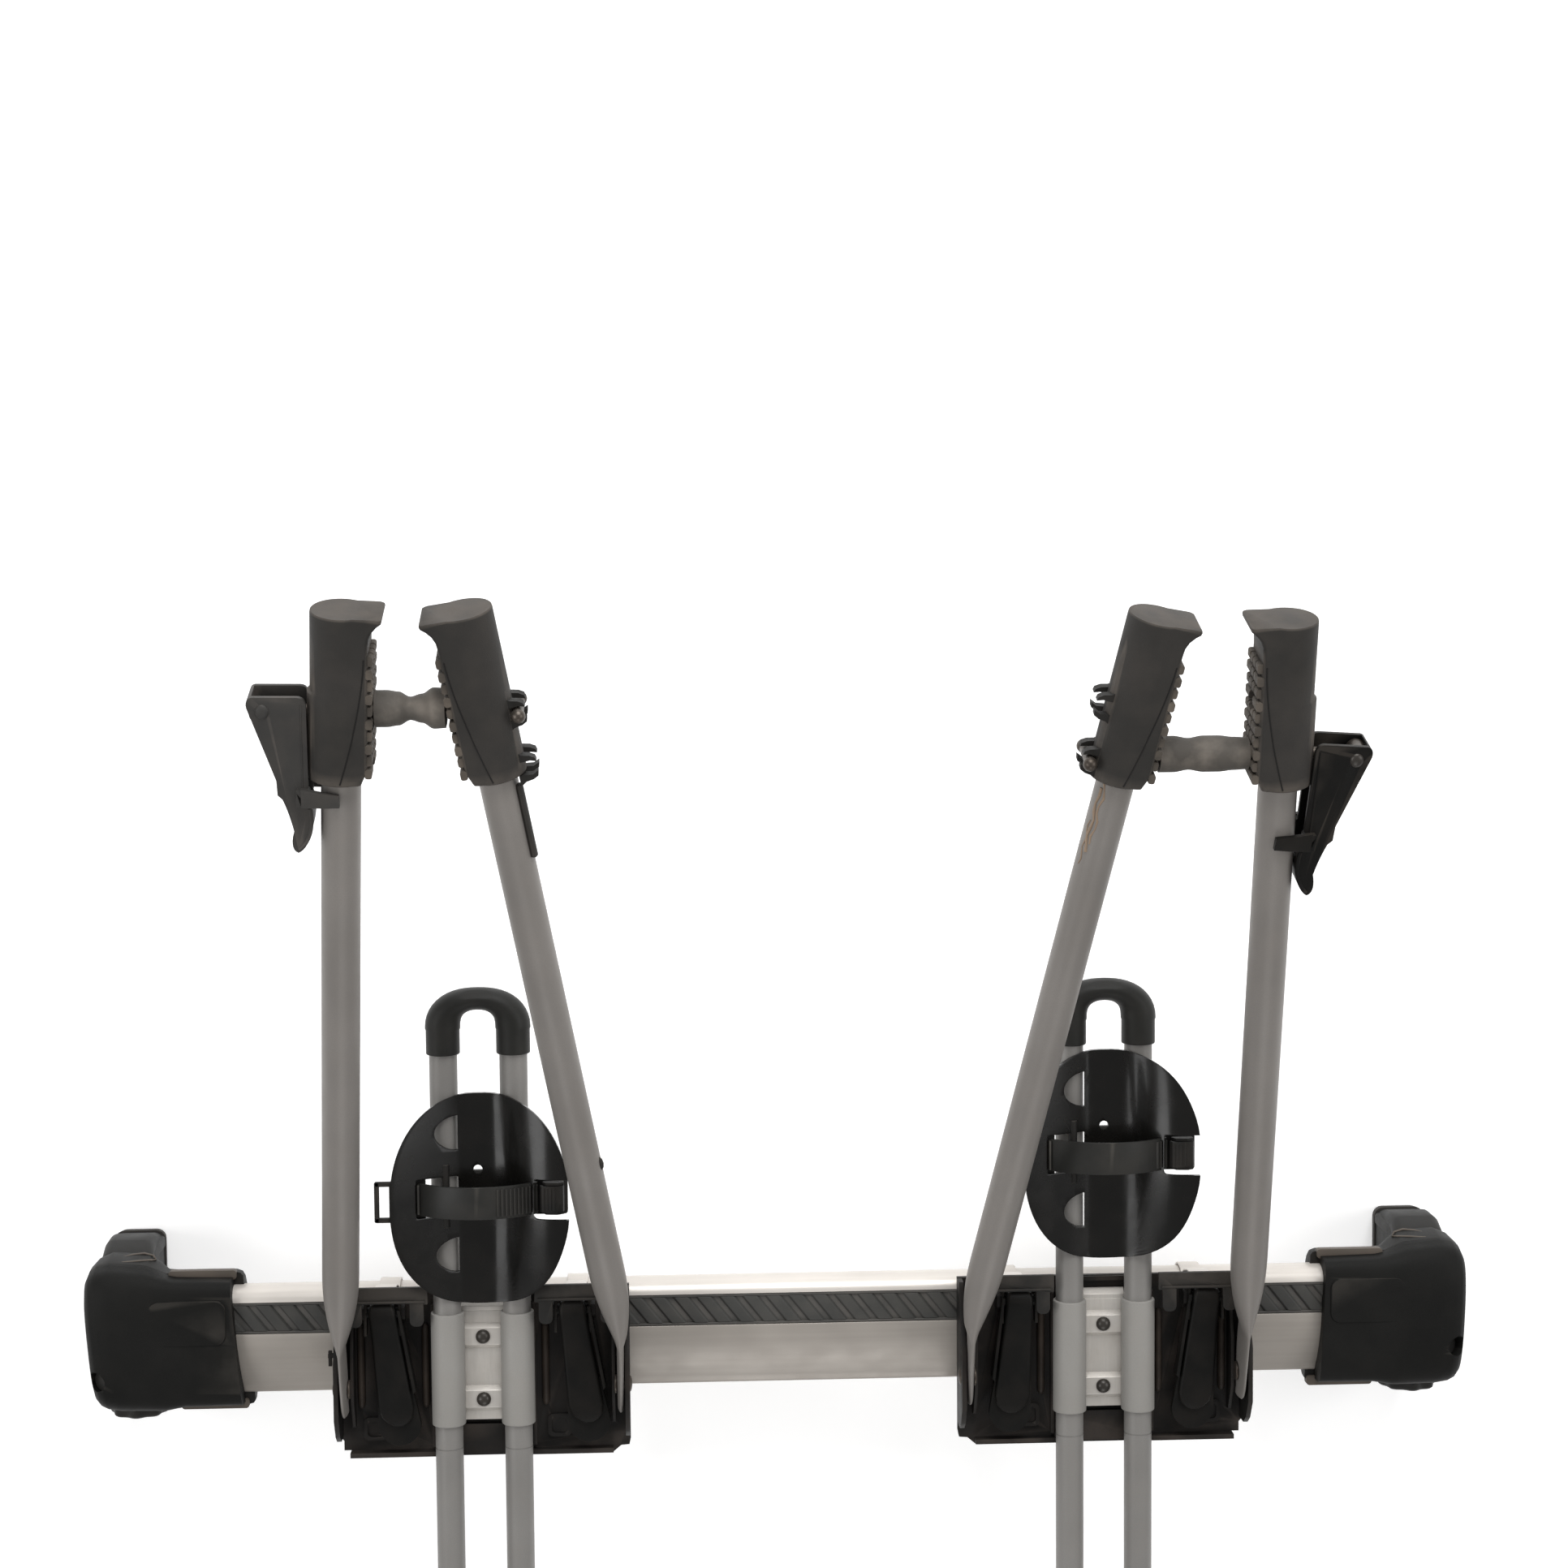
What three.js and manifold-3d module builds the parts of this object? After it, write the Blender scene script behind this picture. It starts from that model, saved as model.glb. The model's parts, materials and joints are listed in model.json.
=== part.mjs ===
// A roof bicycle rack: two crossbars on four feet, carrying two upright cycle carriers.
// Millimetres, +Z up from the roof, +Y towards the front of the car, +X to its right.
import * as THREE from "three";
import { mergeVertices } from "three/addons/utils/BufferGeometryUtils.js";
import Module from "manifold-3d";

const wasm = await Module();
wasm.setup();

// ---------------------------------------------------------------- driving dimensions

const CLEARANCE = 0.3; // between pieces that touch or slide

// Crossbars
const SPAN = 1016; // over the two end covers
const BAR_SPACING = 760; // front bar to rear bar
const BAR_TOP = 110; // top face above the roof
const BAR_WIDTH = 80;
const BAR_HEIGHT = 30;
const NOSE_DEPTH = 10;
const TRACK_OFFSET = 18; // accessory track, forward of the bar's middle
const STRIP_WIDTH = 23;
const STRIP_DEPTH = 7;
const TRACK_NECK = 12;
const TRACK_CAVITY = 22;

// Feet and end covers
const COVER_LENGTH = 114;
const COVER_WIDTH = 102;
const COVER_RISE = 9; // cover above the bar's top
const COVER_DROP = 12; // foot wrap below the bar's underside
const COVER_END_GAP = 14; // from the bar's cut end to the outside of the cover
const FOOT_TOP_LENGTH = 50;
const FOOT_PAD_LENGTH = 38;
const FOOT_PAD_WIDTH = 92;
const FOOT_PAD_THICKNESS = 12;
const KNOB_RADIUS = 22;
const KNOB_DEPTH = 13;
const KNOB_HEIGHT = 58; // axis above the roof
const KNOB_INWARD = 7; // axis from the foot's middle

// Carriers
const CARRIER_OFFSET = 225; // half the distance between the carriers
const CARRIER_SHIFT = 8; // both carriers stand this far to the right of the car's middle
const RAIL_RADIUS = 10;
const RAIL_WALL = 1.5;
const RAIL_PLUG = 8; // closes each rail's rear end
const RAIL_SPACING = 50;
const RAIL_FRONT = 236; // rails' front ends, ahead of the front bar
const RAIL_REAR = 1225; // rails' rear ends, behind the front bar
const SLEEVE_WALL = 2;
const SLEEVE_FRONT = 25;
const SLEEVE_LENGTH = 82;
const RIVET_RADIUS = 5;
const RIVET_SPACING = 46;
const CAP_RADIUS = 12;
const CAP_LEG = 15;
const CAP_REACH = 24; // rail held inside the cap's leg
const HOUSING_LENGTH = 120; // along the rails
const HOUSING_WIDTH = 211;
const HOUSING_FLOOR = 4;
const CHEEK_WALL = 3.3;
const CHEEK_RISE = 37;

// Frame holder
const FOLD_REST = 20; // degrees that the folded arms stand above the rails
const ARM_RADIUS = 13;
const ARM_WALL = 1.5;
const ARM_REACH = 565; // pivot to the tube's upper end
const ARM_BEND = 45; // pivot to where the tube starts to lean
const ARM_ROUND = 92; // pivot to where the tube is fully round
const BLADE_THICKNESS = 5;
const BLADE_WIDTH = 34;
const PIVOT_RADIUS = 4;
const PIVOT_BEHIND = 28; // arm pivot behind the front bar's middle
const PIVOT_ABOVE_BAR = 26;
const JAW_WALL = 7; // rubber round the back of the tube
const JAW_PAD = 6.5; // rubber between the tube and the gripping face
const JAW_LENGTH = 115;
const JAW_START = 476; // pivot to the jaw's lower end
const JAW_DEPTH = 36;
const JAW_FLARE = 7;
const BOLT_LEVELS = { upper: 528, lower: 490 }; // pivot to each bolt hole
const BOLT_RADIUS = 4;
const BOLT_BALL = 5.4;
const BOLT_CROSS = 30;
const LEVER_BACKSET = 31.5; // lever pin from the outer jaw's back
const LEVER_DEPTH = 24;
const LEVER_WALL = 3;
const LEVER_PIN = 3;

// Base clamp levers and hooks
const CAM_LENGTH = 92;
const CAM_HUB = 8;
const CAM_THICKNESS = 8;
const CAM_INSET = 37.5; // lever's middle from the housing's side
const CAM_AXIS_FROM_FRONT = 14;
const CAM_AXIS_ABOVE_BAR = 21;
const HOOK_WIDTH = 52;
const HOOK_WALL = 4;

// Wheel trays
const TRAY_LENGTH = 154;
const TRAY_WIDTH = 124;
const TRAY_RISE = 22;
const TRAY_WALL = 4;
const STRAP_WIDTH = 23;
const STRAP_THICKNESS = 2.5;
const STRAP_CROWN = 30;
const STRAP_HALF = 42; // strap's middle to its slot in the left wing
const BUCKLE_X = 57; // buckle's pin from the tray's middle
const REAR_TRAY_BEHIND = 950;
const SADDLE_LENGTH = 44;
const SADDLE_WALL = 3.5;

// ---------------------------------------------------------------- worked-out places

const BAR_MIDDLE = BAR_TOP - BAR_HEIGHT / 2;
const RAIL_Z = BAR_TOP + 1 + HOUSING_FLOOR + 1 + RAIL_RADIUS + SLEEVE_WALL;
const RAIL_TOP = RAIL_Z + RAIL_RADIUS;
const HOUSING_FRONT = BAR_WIDTH / 2;
const HOUSING_BASE = BAR_TOP + 1;
const HOUSING_MIDDLE = HOUSING_FRONT - HOUSING_LENGTH / 2;
const JAW_RADIUS = ARM_RADIUS + JAW_WALL;
const JAW_FACE = ARM_RADIUS + JAW_PAD; // gripping face from the tube's axis
const CROSS_STANDOFF = JAW_RADIUS + BOLT_RADIUS + 1; // cross-piece from the inner arm's axis
const LEVER_STANDOFF = JAW_RADIUS + LEVER_BACKSET; // lever pin from the outer arm's axis
const PIVOT_Z = BAR_TOP + PIVOT_ABOVE_BAR;
const PIVOT_X = HOUSING_WIDTH / 2 - CHEEK_WALL - 0.7 - BLADE_THICKNESS / 2;
const CAM_X = HOUSING_WIDTH / 2 - CAM_INSET;
const CAM_Y = HOUSING_FRONT - CAM_AXIS_FROM_FRONT;
const CAM_Z = BAR_TOP + CAM_AXIS_ABOVE_BAR;
const BAR_HALF = SPAN / 2 - COVER_END_GAP;
const degrees = THREE.MathUtils.degToRad;

// ---------------------------------------------------------------- solids

// A closed three.js geometry as a solid that can be joined and cut.
function solid(geometry) {
  const bare = geometry.clone();
  bare.deleteAttribute("normal");
  bare.deleteAttribute("uv");
  const merged = mergeVertices(bare, 1e-4);
  return new wasm.Manifold(
    new wasm.Mesh({
      numProp: 3,
      vertProperties: new Float32Array(merged.attributes.position.array),
      triVerts: new Uint32Array(merged.index.array),
    }),
  );
}

function geometryOf(body) {
  const mesh = body.getMesh();
  const geometry = new THREE.BufferGeometry();
  geometry.setAttribute("position", new THREE.BufferAttribute(mesh.vertProperties, 3));
  geometry.setIndex(new THREE.BufferAttribute(mesh.triVerts, 1));
  geometry.computeVertexNormals();
  return geometry;
}

const join = (...bodies) => bodies.reduce((sum, body) => sum.add(body));
const cut = (body, ...tools) => tools.reduce((left, tool) => left.subtract(tool), body);

function box(width, depth, height, x = 0, y = 0, z = 0) {
  return solid(new THREE.BoxGeometry(width, depth, height).translate(x, y, z));
}

// A cylinder along "x", "y" or "z", centred on a point.
function rod(axis, radius, length, [x, y, z], sides = 10) {
  const geometry = new THREE.CylinderGeometry(radius, radius, length, sides);
  if (axis === "x") geometry.rotateZ(Math.PI / 2);
  if (axis === "z") geometry.rotateX(Math.PI / 2);
  return solid(geometry.translate(x, y, z));
}

function ball(radius, [x, y, z], sides = 8) {
  return solid(new THREE.SphereGeometry(radius, sides, sides / 2).translate(x, y, z));
}

// Extrusions of a shape: along X from a (Y, Z) shape, along Y from an (X, Z) shape,
// along Z from an (X, Y) shape.
function extrudeShape(shape, length, steps = 3) {
  return new THREE.ExtrudeGeometry(shape, { depth: length, bevelEnabled: false, curveSegments: steps });
}
function extrudeX(shape, length, middle = 0, steps = 3) {
  const basis = new THREE.Matrix4().makeBasis(
    new THREE.Vector3(0, 1, 0),
    new THREE.Vector3(0, 0, 1),
    new THREE.Vector3(1, 0, 0),
  );
  return solid(extrudeShape(shape, length, steps).applyMatrix4(basis).translate(middle - length / 2, 0, 0));
}
function extrudeY(shape, length, middle = 0, steps = 3) {
  const basis = new THREE.Matrix4().makeBasis(
    new THREE.Vector3(1, 0, 0),
    new THREE.Vector3(0, 0, 1),
    new THREE.Vector3(0, -1, 0),
  );
  return solid(extrudeShape(shape, length, steps).applyMatrix4(basis).translate(0, middle + length / 2, 0));
}
function extrudeZ(shape, height, base = 0, steps = 3) {
  return solid(extrudeShape(shape, height, steps).translate(0, 0, base));
}

function polygon(points) {
  return new THREE.Shape(points.map(([x, y]) => new THREE.Vector2(x, y)));
}

function roundedRectangle(width, height, radius, x = 0, y = 0) {
  const [left, right, low, high] = [x - width / 2, x + width / 2, y - height / 2, y + height / 2];
  const shape = new THREE.Shape();
  shape.moveTo(left + radius, low);
  shape.lineTo(right - radius, low);
  shape.absarc(right - radius, low + radius, radius, -Math.PI / 2, 0);
  shape.lineTo(right, high - radius);
  shape.absarc(right - radius, high - radius, radius, 0, Math.PI / 2);
  shape.lineTo(left + radius, high);
  shape.absarc(left + radius, high - radius, radius, Math.PI / 2, Math.PI);
  shape.lineTo(left, low + radius);
  shape.absarc(left + radius, low + radius, radius, Math.PI, Math.PI * 1.5);
  return shape;
}

// A closed skin over rings of equal length, each a list of Vector3 going round the same way.
function loft(rings) {
  const count = rings[0].length;
  const points = rings.flat();
  const indices = [];
  for (let k = 0; k < rings.length - 1; k++) {
    for (let i = 0; i < count; i++) {
      const [a, b] = [k * count + i, k * count + ((i + 1) % count)];
      indices.push(a, b, b + count, a, b + count, a + count);
    }
  }
  const last = (rings.length - 1) * count;
  for (let i = 1; i < count - 1; i++) {
    indices.push(0, i + 1, i);
    indices.push(last, last + i, last + i + 1);
  }
  const geometry = new THREE.BufferGeometry().setFromPoints(points).setIndex(indices);
  const made = solid(geometry);
  return made.volume() < 0 ? solid(geometry.setIndex(indices.reverse())) : made;
}

// An oval ring in the plane of two directions, round a centre.
function oval(centre, across, up, halfAcross, halfUp, sides) {
  return Array.from({ length: sides }, (_, i) => {
    const turn = (i / sides) * Math.PI * 2;
    return centre
      .clone()
      .addScaledVector(across, Math.cos(turn) * halfAcross)
      .addScaledVector(up, Math.sin(turn) * halfUp);
  });
}

// ---------------------------------------------------------------- materials

const FINISHES = {
  anodised: { color: 0xc9c6c2, roughness: 0.32, metalness: 0.9 },
  tube: { color: 0x8f8d89, roughness: 0.42, metalness: 0.75 },
  plastic: { color: 0x262625, roughness: 0.6, metalness: 0 },
  gloss: { color: 0x151515, roughness: 0.28, metalness: 0 },
  rubber: { color: 0x3a3937, roughness: 0.85, metalness: 0 },
  steel: { color: 0x55524f, roughness: 0.35, metalness: 0.9 },
};

function piece(name, body, finish) {
  const mesh = new THREE.Mesh(geometryOf(body), new THREE.MeshStandardMaterial(FINISHES[finish]));
  mesh.name = name;
  return mesh;
}

// ---------------------------------------------------------------- crossbars

// The bar's wing section in (Y, Z), blunt at the front and thin at the back,
// grown by `grow` for what fits round it.
function wingSection(grow = 0) {
  const nose = BAR_HEIGHT / 2;
  const tail = 3.5;
  const noseY = BAR_WIDTH / 2 - NOSE_DEPTH;
  const flatEnd = TRACK_OFFSET - STRIP_WIDTH / 2 - 2;
  const tailY = -BAR_WIDTH / 2 + tail;
  const tailZ = BAR_MIDDLE - 0.5;
  const shape = new THREE.Shape();
  shape.moveTo(noseY, BAR_MIDDLE - nose - grow);
  shape.absellipse(noseY, BAR_MIDDLE, NOSE_DEPTH + grow, nose + grow, -Math.PI / 2, Math.PI / 2, false, 0);
  shape.lineTo(flatEnd, BAR_TOP + grow);
  shape.quadraticCurveTo(-BAR_WIDTH * 0.2, BAR_TOP + grow, tailY, tailZ + tail + grow);
  shape.absarc(tailY, tailZ, tail + grow, Math.PI / 2, Math.PI * 1.5, false);
  shape.quadraticCurveTo(-BAR_WIDTH * 0.15, BAR_TOP - BAR_HEIGHT - grow, noseY, BAR_MIDDLE - nose - grow);
  return shape;
}

function crossbar() {
  const length = 2 * BAR_HALF;
  const over = length + 2;
  const neckTop = BAR_TOP - STRIP_DEPTH;
  const chamber = roundedRectangle(26, 12, 5, -BAR_WIDTH * 0.17, BAR_MIDDLE - 1);
  return cut(
    extrudeX(wingSection(), length, 0, 6),
    box(over, STRIP_WIDTH, STRIP_DEPTH + 2, 0, TRACK_OFFSET, BAR_TOP - STRIP_DEPTH / 2 + 1),
    box(over, TRACK_NECK, 4, 0, TRACK_OFFSET, neckTop - 1.5),
    box(over, TRACK_CAVITY, 7, 0, TRACK_OFFSET, neckTop - 6.5),
    extrudeX(chamber, over),
  );
}

// The rubber infill of the accessory track, with a hole for each track bolt.
function trackStrip(boltPlaces) {
  const depth = STRIP_DEPTH - CLEARANCE;
  const width = STRIP_WIDTH - 2 * CLEARANCE;
  const section = roundedRectangle(width, depth, 1.5, TRACK_OFFSET, BAR_TOP - depth / 2);
  const strip = extrudeX(section, 2 * BAR_HALF, 0, 1);
  const holes = boltPlaces.map((x) => rod("z", 6, STRIP_DEPTH * 3, [x, TRACK_OFFSET, BAR_TOP]));
  return cut(strip, ...holes);
}

// ---------------------------------------------------------------- feet, built for the left end

const COVER_OUTER = -SPAN / 2;
const COVER_INNER = COVER_OUTER + COVER_LENGTH;
const COVER_SEAM = BAR_MIDDLE + 1;
const FOOT_MIDDLE = COVER_OUTER + FOOT_TOP_LENGTH / 2 + 1;
const KNOB_X = FOOT_MIDDLE + KNOB_INWARD;
const KNOB_SEAT = -COVER_WIDTH / 2 + 4;

// Plan outline of the cover: rounded outer corners, a slightly tapered outer end and a raked inner edge.
function coverOutline(inset) {
  const front = COVER_WIDTH / 2 + 1 - inset;
  const rear = -COVER_WIDTH / 2 + 1 + inset;
  const outer = COVER_OUTER + inset;
  const corner = 17;
  const shape = new THREE.Shape();
  shape.moveTo(COVER_INNER + 6 - inset, rear);
  shape.lineTo(COVER_INNER - 2 - inset, front);
  shape.lineTo(outer + corner, front);
  shape.quadraticCurveTo(outer, front, outer, front - corner);
  shape.lineTo(outer + 8, rear + corner);
  shape.quadraticCurveTo(outer + 9, rear, outer + 8 + corner, rear);
  return shape;
}

// The cover's crowned cross-section in (Y, Z).
function coverCrown() {
  const top = BAR_TOP + COVER_RISE;
  const half = COVER_WIDTH / 2 + 2;
  const shape = new THREE.Shape();
  shape.moveTo(-half, COVER_SEAM);
  shape.lineTo(half, COVER_SEAM);
  shape.lineTo(half, BAR_TOP - 8);
  shape.quadraticCurveTo(half - 2, top, half - 22, top);
  shape.lineTo(-half + 40, top - 0.5);
  shape.quadraticCurveTo(-half + 4, top - 3, -half, BAR_TOP - 12);
  return shape;
}

function endCover() {
  const shell = extrudeZ(coverOutline(0), 60, BAR_MIDDLE - 20).intersect(
    extrudeX(coverCrown(), COVER_LENGTH * 2, COVER_OUTER),
  );
  const barRoom = extrudeX(wingSection(CLEARANCE), 2 * (BAR_HALF + CLEARANCE), 0, 6);
  const lock = rod("z", 9, 30, [0, 0, 0], 16)
    .rotate([0, -62, 0])
    .translate([COVER_OUTER + 3, -27, BAR_TOP - 2]);
  return cut(shell, barRoom, lock);
}

function footBody() {
  const low = BAR_TOP - BAR_HEIGHT - COVER_DROP;
  const wrap = extrudeZ(coverOutline(-0.8), COVER_SEAM - CLEARANCE - low, low);
  const up = new THREE.Vector3(0, 1, 0);
  const along = new THREE.Vector3(1, 0, 0);
  const ring = (length, width, x, y, z) =>
    roundedRectangle(length, width, 8)
      .getPoints(2)
      .slice(0, -1)
      .map((p) => new THREE.Vector3(x, y, z).addScaledVector(along, p.x).addScaledVector(up, p.y));
  const padFront = 14; // the foot leans forward
  const tower = loft([
    ring(FOOT_PAD_LENGTH, FOOT_PAD_WIDTH, FOOT_MIDDLE + 2, padFront, 0),
    ring(FOOT_PAD_LENGTH, FOOT_PAD_WIDTH, FOOT_MIDDLE + 2, padFront, FOOT_PAD_THICKNESS),
    ring(FOOT_TOP_LENGTH, COVER_WIDTH - 2, FOOT_MIDDLE, 4, low + 6),
  ]);
  const barRoom = extrudeX(wingSection(CLEARANCE), 2 * (BAR_HALF + CLEARANCE), 0, 6);
  const socket = rod("y", KNOB_RADIUS * 0.45 + CLEARANCE, 24, [KNOB_X, KNOB_SEAT, KNOB_HEIGHT], 16);
  return cut(join(wrap, tower), barRoom, socket);
}

// The knob that tightens the foot: a fluted head whose shank turns in a socket in the foot's rear face.
function footKnob() {
  const flutes = 8;
  const shape = new THREE.Shape();
  const steps = flutes * 2;
  for (let i = 0; i < steps; i++) {
    const turn = (i / steps) * Math.PI * 2;
    const r = KNOB_RADIUS - 1.2 + 1.2 * Math.cos(turn * flutes);
    if (i === 0) shape.moveTo(r, 0);
    else shape.lineTo(r * Math.cos(turn), r * Math.sin(turn));
  }
  const head = extrudeY(shape, KNOB_DEPTH, -KNOB_DEPTH / 2 - 8);
  return join(head, rod("y", KNOB_RADIUS * 0.45, 12, [0, -4, 0], 16));
}

function footGroup(where, side) {
  const group = new THREE.Group();
  group.scale.x = -side;
  const knob = piece("foot_knob_" + where, footKnob(), "plastic");
  knob.position.set(KNOB_X, KNOB_SEAT, KNOB_HEIGHT);
  const cover = piece("end_cover_" + where, endCover(), "plastic");
  group.add(cover, piece("foot_" + where, footBody(), "plastic"), knob);
  return group;
}

// ---------------------------------------------------------------- carrier base

// The C section of a hook or claw round the bar's edge, in (Y, Z);
// `way` is +1 for the front edge and -1 for the rear.
function clawSection(way, top, reach) {
  const face = way * (BAR_WIDTH / 2 + 0.5);
  const back = face + way * HOOK_WALL;
  const lip = BAR_TOP - BAR_HEIGHT - 1 + (way < 0 ? 8 : 0);
  const points = [
    [back, top],
    [face - way * reach, top],
    [face - way * reach, top - HOOK_WALL],
    [face, top - HOOK_WALL],
    [face, lip],
    [face - way * 7, lip],
    [face - way * 7, lip - HOOK_WALL],
    [back, lip - HOOK_WALL],
  ];
  return polygon(way > 0 ? points : points.reverse());
}

function housing() {
  const half = HOUSING_WIDTH / 2;
  const rear = HOUSING_FRONT - HOUSING_LENGTH;
  const floor = extrudeZ(
    roundedRectangle(HOUSING_WIDTH, HOUSING_LENGTH, 6, 0, HOUSING_MIDDLE),
    HOUSING_FLOOR,
    HOUSING_BASE,
    2,
  );
  const cheek = (side) =>
    extrudeX(
      polygon([
        [rear + 12, HOUSING_BASE],
        [HOUSING_FRONT - 1, HOUSING_BASE],
        [HOUSING_FRONT - 1, HOUSING_BASE + 16],
        [HOUSING_FRONT - 18, HOUSING_BASE + 17],
        [0, HOUSING_BASE + CHEEK_RISE - 4],
        [-8, HOUSING_BASE + CHEEK_RISE],
        [-48, HOUSING_BASE + CHEEK_RISE],
        [rear + 12, HOUSING_BASE + 22],
      ]),
      CHEEK_WALL,
      side * (half - CHEEK_WALL / 2),
    );
  const ribLength = HOUSING_LENGTH - 24;
  const rib = (x, height) => box(4, ribLength, height, x, HOUSING_MIDDLE - 6, HOUSING_BASE + height / 2);
  const rearWalls = [-1, 1].map((side) => box(50, 4, 16, side * CAM_X, rear + 4, HOUSING_BASE + 8));
  const earTop = CAM_Z + 3;
  const ears = [-CAM_X, CAM_X].flatMap((x) =>
    [-15, 15].map((dx) => box(4, 16, earTop - HOUSING_BASE, x + dx, CAM_Y, (earTop + HOUSING_BASE) / 2)),
  );
  const claw = extrudeX(clawSection(-1, HOUSING_BASE + HOUSING_FLOOR - 0.5, 10), HOUSING_WIDTH - 60);
  const bolt = (side) =>
    join(
      rod("x", PIVOT_RADIUS, CHEEK_WALL + 9, [side * (half - 5), -PIVOT_BEHIND, PIVOT_Z]),
      rod("x", PIVOT_RADIUS * 1.7, 2, [side * (half - 10.2), -PIVOT_BEHIND, PIVOT_Z], 12),
    );
  const ribs = [rib(-42, 10), rib(42, 10), rib(-88, 10)];
  return join(floor, cheek(-1), cheek(1), ...ribs, ...rearWalls, ...ears, claw, bolt(-1), bolt(1));
}

// A clamp lever of the base, drawn about its hinge with its grip towards the rear.
// It tapers and leans a little.
function camLever(hubWidth, tipWidth, lean) {
  const shape = new THREE.Shape();
  const tip = -CAM_LENGTH + tipWidth / 2;
  shape.moveTo(-hubWidth / 2, 4);
  shape.lineTo(lean - tipWidth / 2, tip);
  shape.absarc(lean, tip, tipWidth / 2, Math.PI, Math.PI * 2, false);
  shape.lineTo(hubWidth / 2, 4);
  const plate = extrudeZ(shape, CAM_THICKNESS, -CAM_THICKNESS / 2);
  const dish = rod("z", tipWidth * 0.4, 6, [lean, tip, CAM_THICKNESS / 2 + 1.5]);
  return cut(join(plate, rod("x", CAM_HUB, hubWidth, [0, 0, 0])), dish);
}

// The hook that a clamp lever pulls against the bar's front edge, with a tab each side of the lever.
function clampHook() {
  const top = CAM_Z + CAM_HUB + 2.5;
  const tabX = (HOOK_WIDTH - 10) / 2;
  const tabs = [-1, 1].map((side) => box(10, 24, HOOK_WALL, side * tabX, 32, top - HOOK_WALL / 2));
  return join(extrudeX(clawSection(1, top, 6), HOOK_WIDTH), ...tabs);
}

// Two sleeves and the riveted web that ties the rails to the housing.
function railBracket() {
  const middle = SLEEVE_FRONT - SLEEVE_LENGTH / 2;
  const rivetMiddle = middle - 1;
  const webZ = RAIL_Z - 7;
  const sleeve = (x) => rod("y", RAIL_RADIUS + SLEEVE_WALL, SLEEVE_LENGTH, [x, middle, RAIL_Z], 16);
  const bore = (x) => rod("y", RAIL_RADIUS + CLEARANCE, SLEEVE_LENGTH + 2, [x, middle, RAIL_Z], 16);
  const places = [-RAIL_SPACING / 2, RAIL_SPACING / 2];
  const web = box(RAIL_SPACING - 16, SLEEVE_LENGTH - 2, 3, 0, middle, webZ);
  const bands = [-1, 1].flatMap((end) => {
    const y = rivetMiddle + (end * RIVET_SPACING) / 2;
    return [box(RAIL_SPACING - 18, 15, 4, 0, y, webZ + 2), ball(RIVET_RADIUS, [0, y, webZ + 4])];
  });
  return cut(join(...places.map(sleeve), web, ...bands), ...places.map(bore));
}

function rail() {
  const ring = new THREE.Shape().absarc(0, 0, RAIL_RADIUS, 0, Math.PI * 2, false);
  ring.holes.push(new THREE.Path().absarc(0, 0, RAIL_RADIUS - RAIL_WALL, 0, Math.PI * 2, true));
  const tube = extrudeY(ring, RAIL_FRONT + RAIL_REAR, (RAIL_FRONT - RAIL_REAR) / 2, 8);
  return join(tube, rod("y", RAIL_RADIUS, RAIL_PLUG, [0, -RAIL_REAR + RAIL_PLUG / 2, 0], 16));
}

// The bow that joins the rails' front ends.
function frontCap() {
  const bend = RAIL_SPACING / 2;
  const legStart = RAIL_FRONT - CAP_REACH + CLEARANCE;
  const bendStart = legStart + CAP_LEG;
  const up = new THREE.Vector3(0, 0, 1);
  const rings = [];
  const ring = (x, y, ax, ay) => {
    const [centre, across] = [new THREE.Vector3(x, y, RAIL_Z), new THREE.Vector3(ax, ay, 0)];
    rings.push(oval(centre, across, up, CAP_RADIUS, CAP_RADIUS, 12));
  };
  ring(-bend, legStart, -1, 0);
  const steps = 8;
  for (let i = 0; i <= steps; i++) {
    const turn = Math.PI * (1 - i / steps);
    ring(bend * Math.cos(turn), bendStart + bend * Math.sin(turn), Math.cos(turn), Math.sin(turn));
  }
  ring(bend, legStart, 1, 0);
  const bores = [-bend, bend].map((x) =>
    rod("y", RAIL_RADIUS + CLEARANCE, 2 * CAP_REACH, [x, legStart, RAIL_Z], 16),
  );
  const flat = box(120, 20, 60, 0, bendStart + bend + CAP_RADIUS - 4 + 10, RAIL_Z);
  return cut(loft(rings), ...bores, flat);
}

// ---------------------------------------------------------------- wheel trays

// Drawn about the tray's middle with z = 0 on top of the rails. The buckle is on the +X side.
function trayOutline() {
  const half = TRAY_WIDTH / 2;
  const long = TRAY_LENGTH / 2;
  const notch = STRAP_WIDTH / 2 + 3;
  const notchDepth = 24;
  const shape = new THREE.Shape();
  shape.moveTo(0, -long);
  shape.bezierCurveTo(half * 0.72, -long, half * 0.92, -long * 0.62, half, -notch);
  shape.lineTo(half - notchDepth, -notch);
  shape.lineTo(half - notchDepth, notch);
  shape.lineTo(half, notch);
  shape.bezierCurveTo(half * 0.88, long * 0.72, half * 0.62, long, 0, long);
  shape.bezierCurveTo(-half * 0.66, long, -half, long * 0.6, -half, 0);
  shape.bezierCurveTo(-half, -long * 0.6, -half * 0.66, -long, 0, -long);
  return shape;
}

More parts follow.
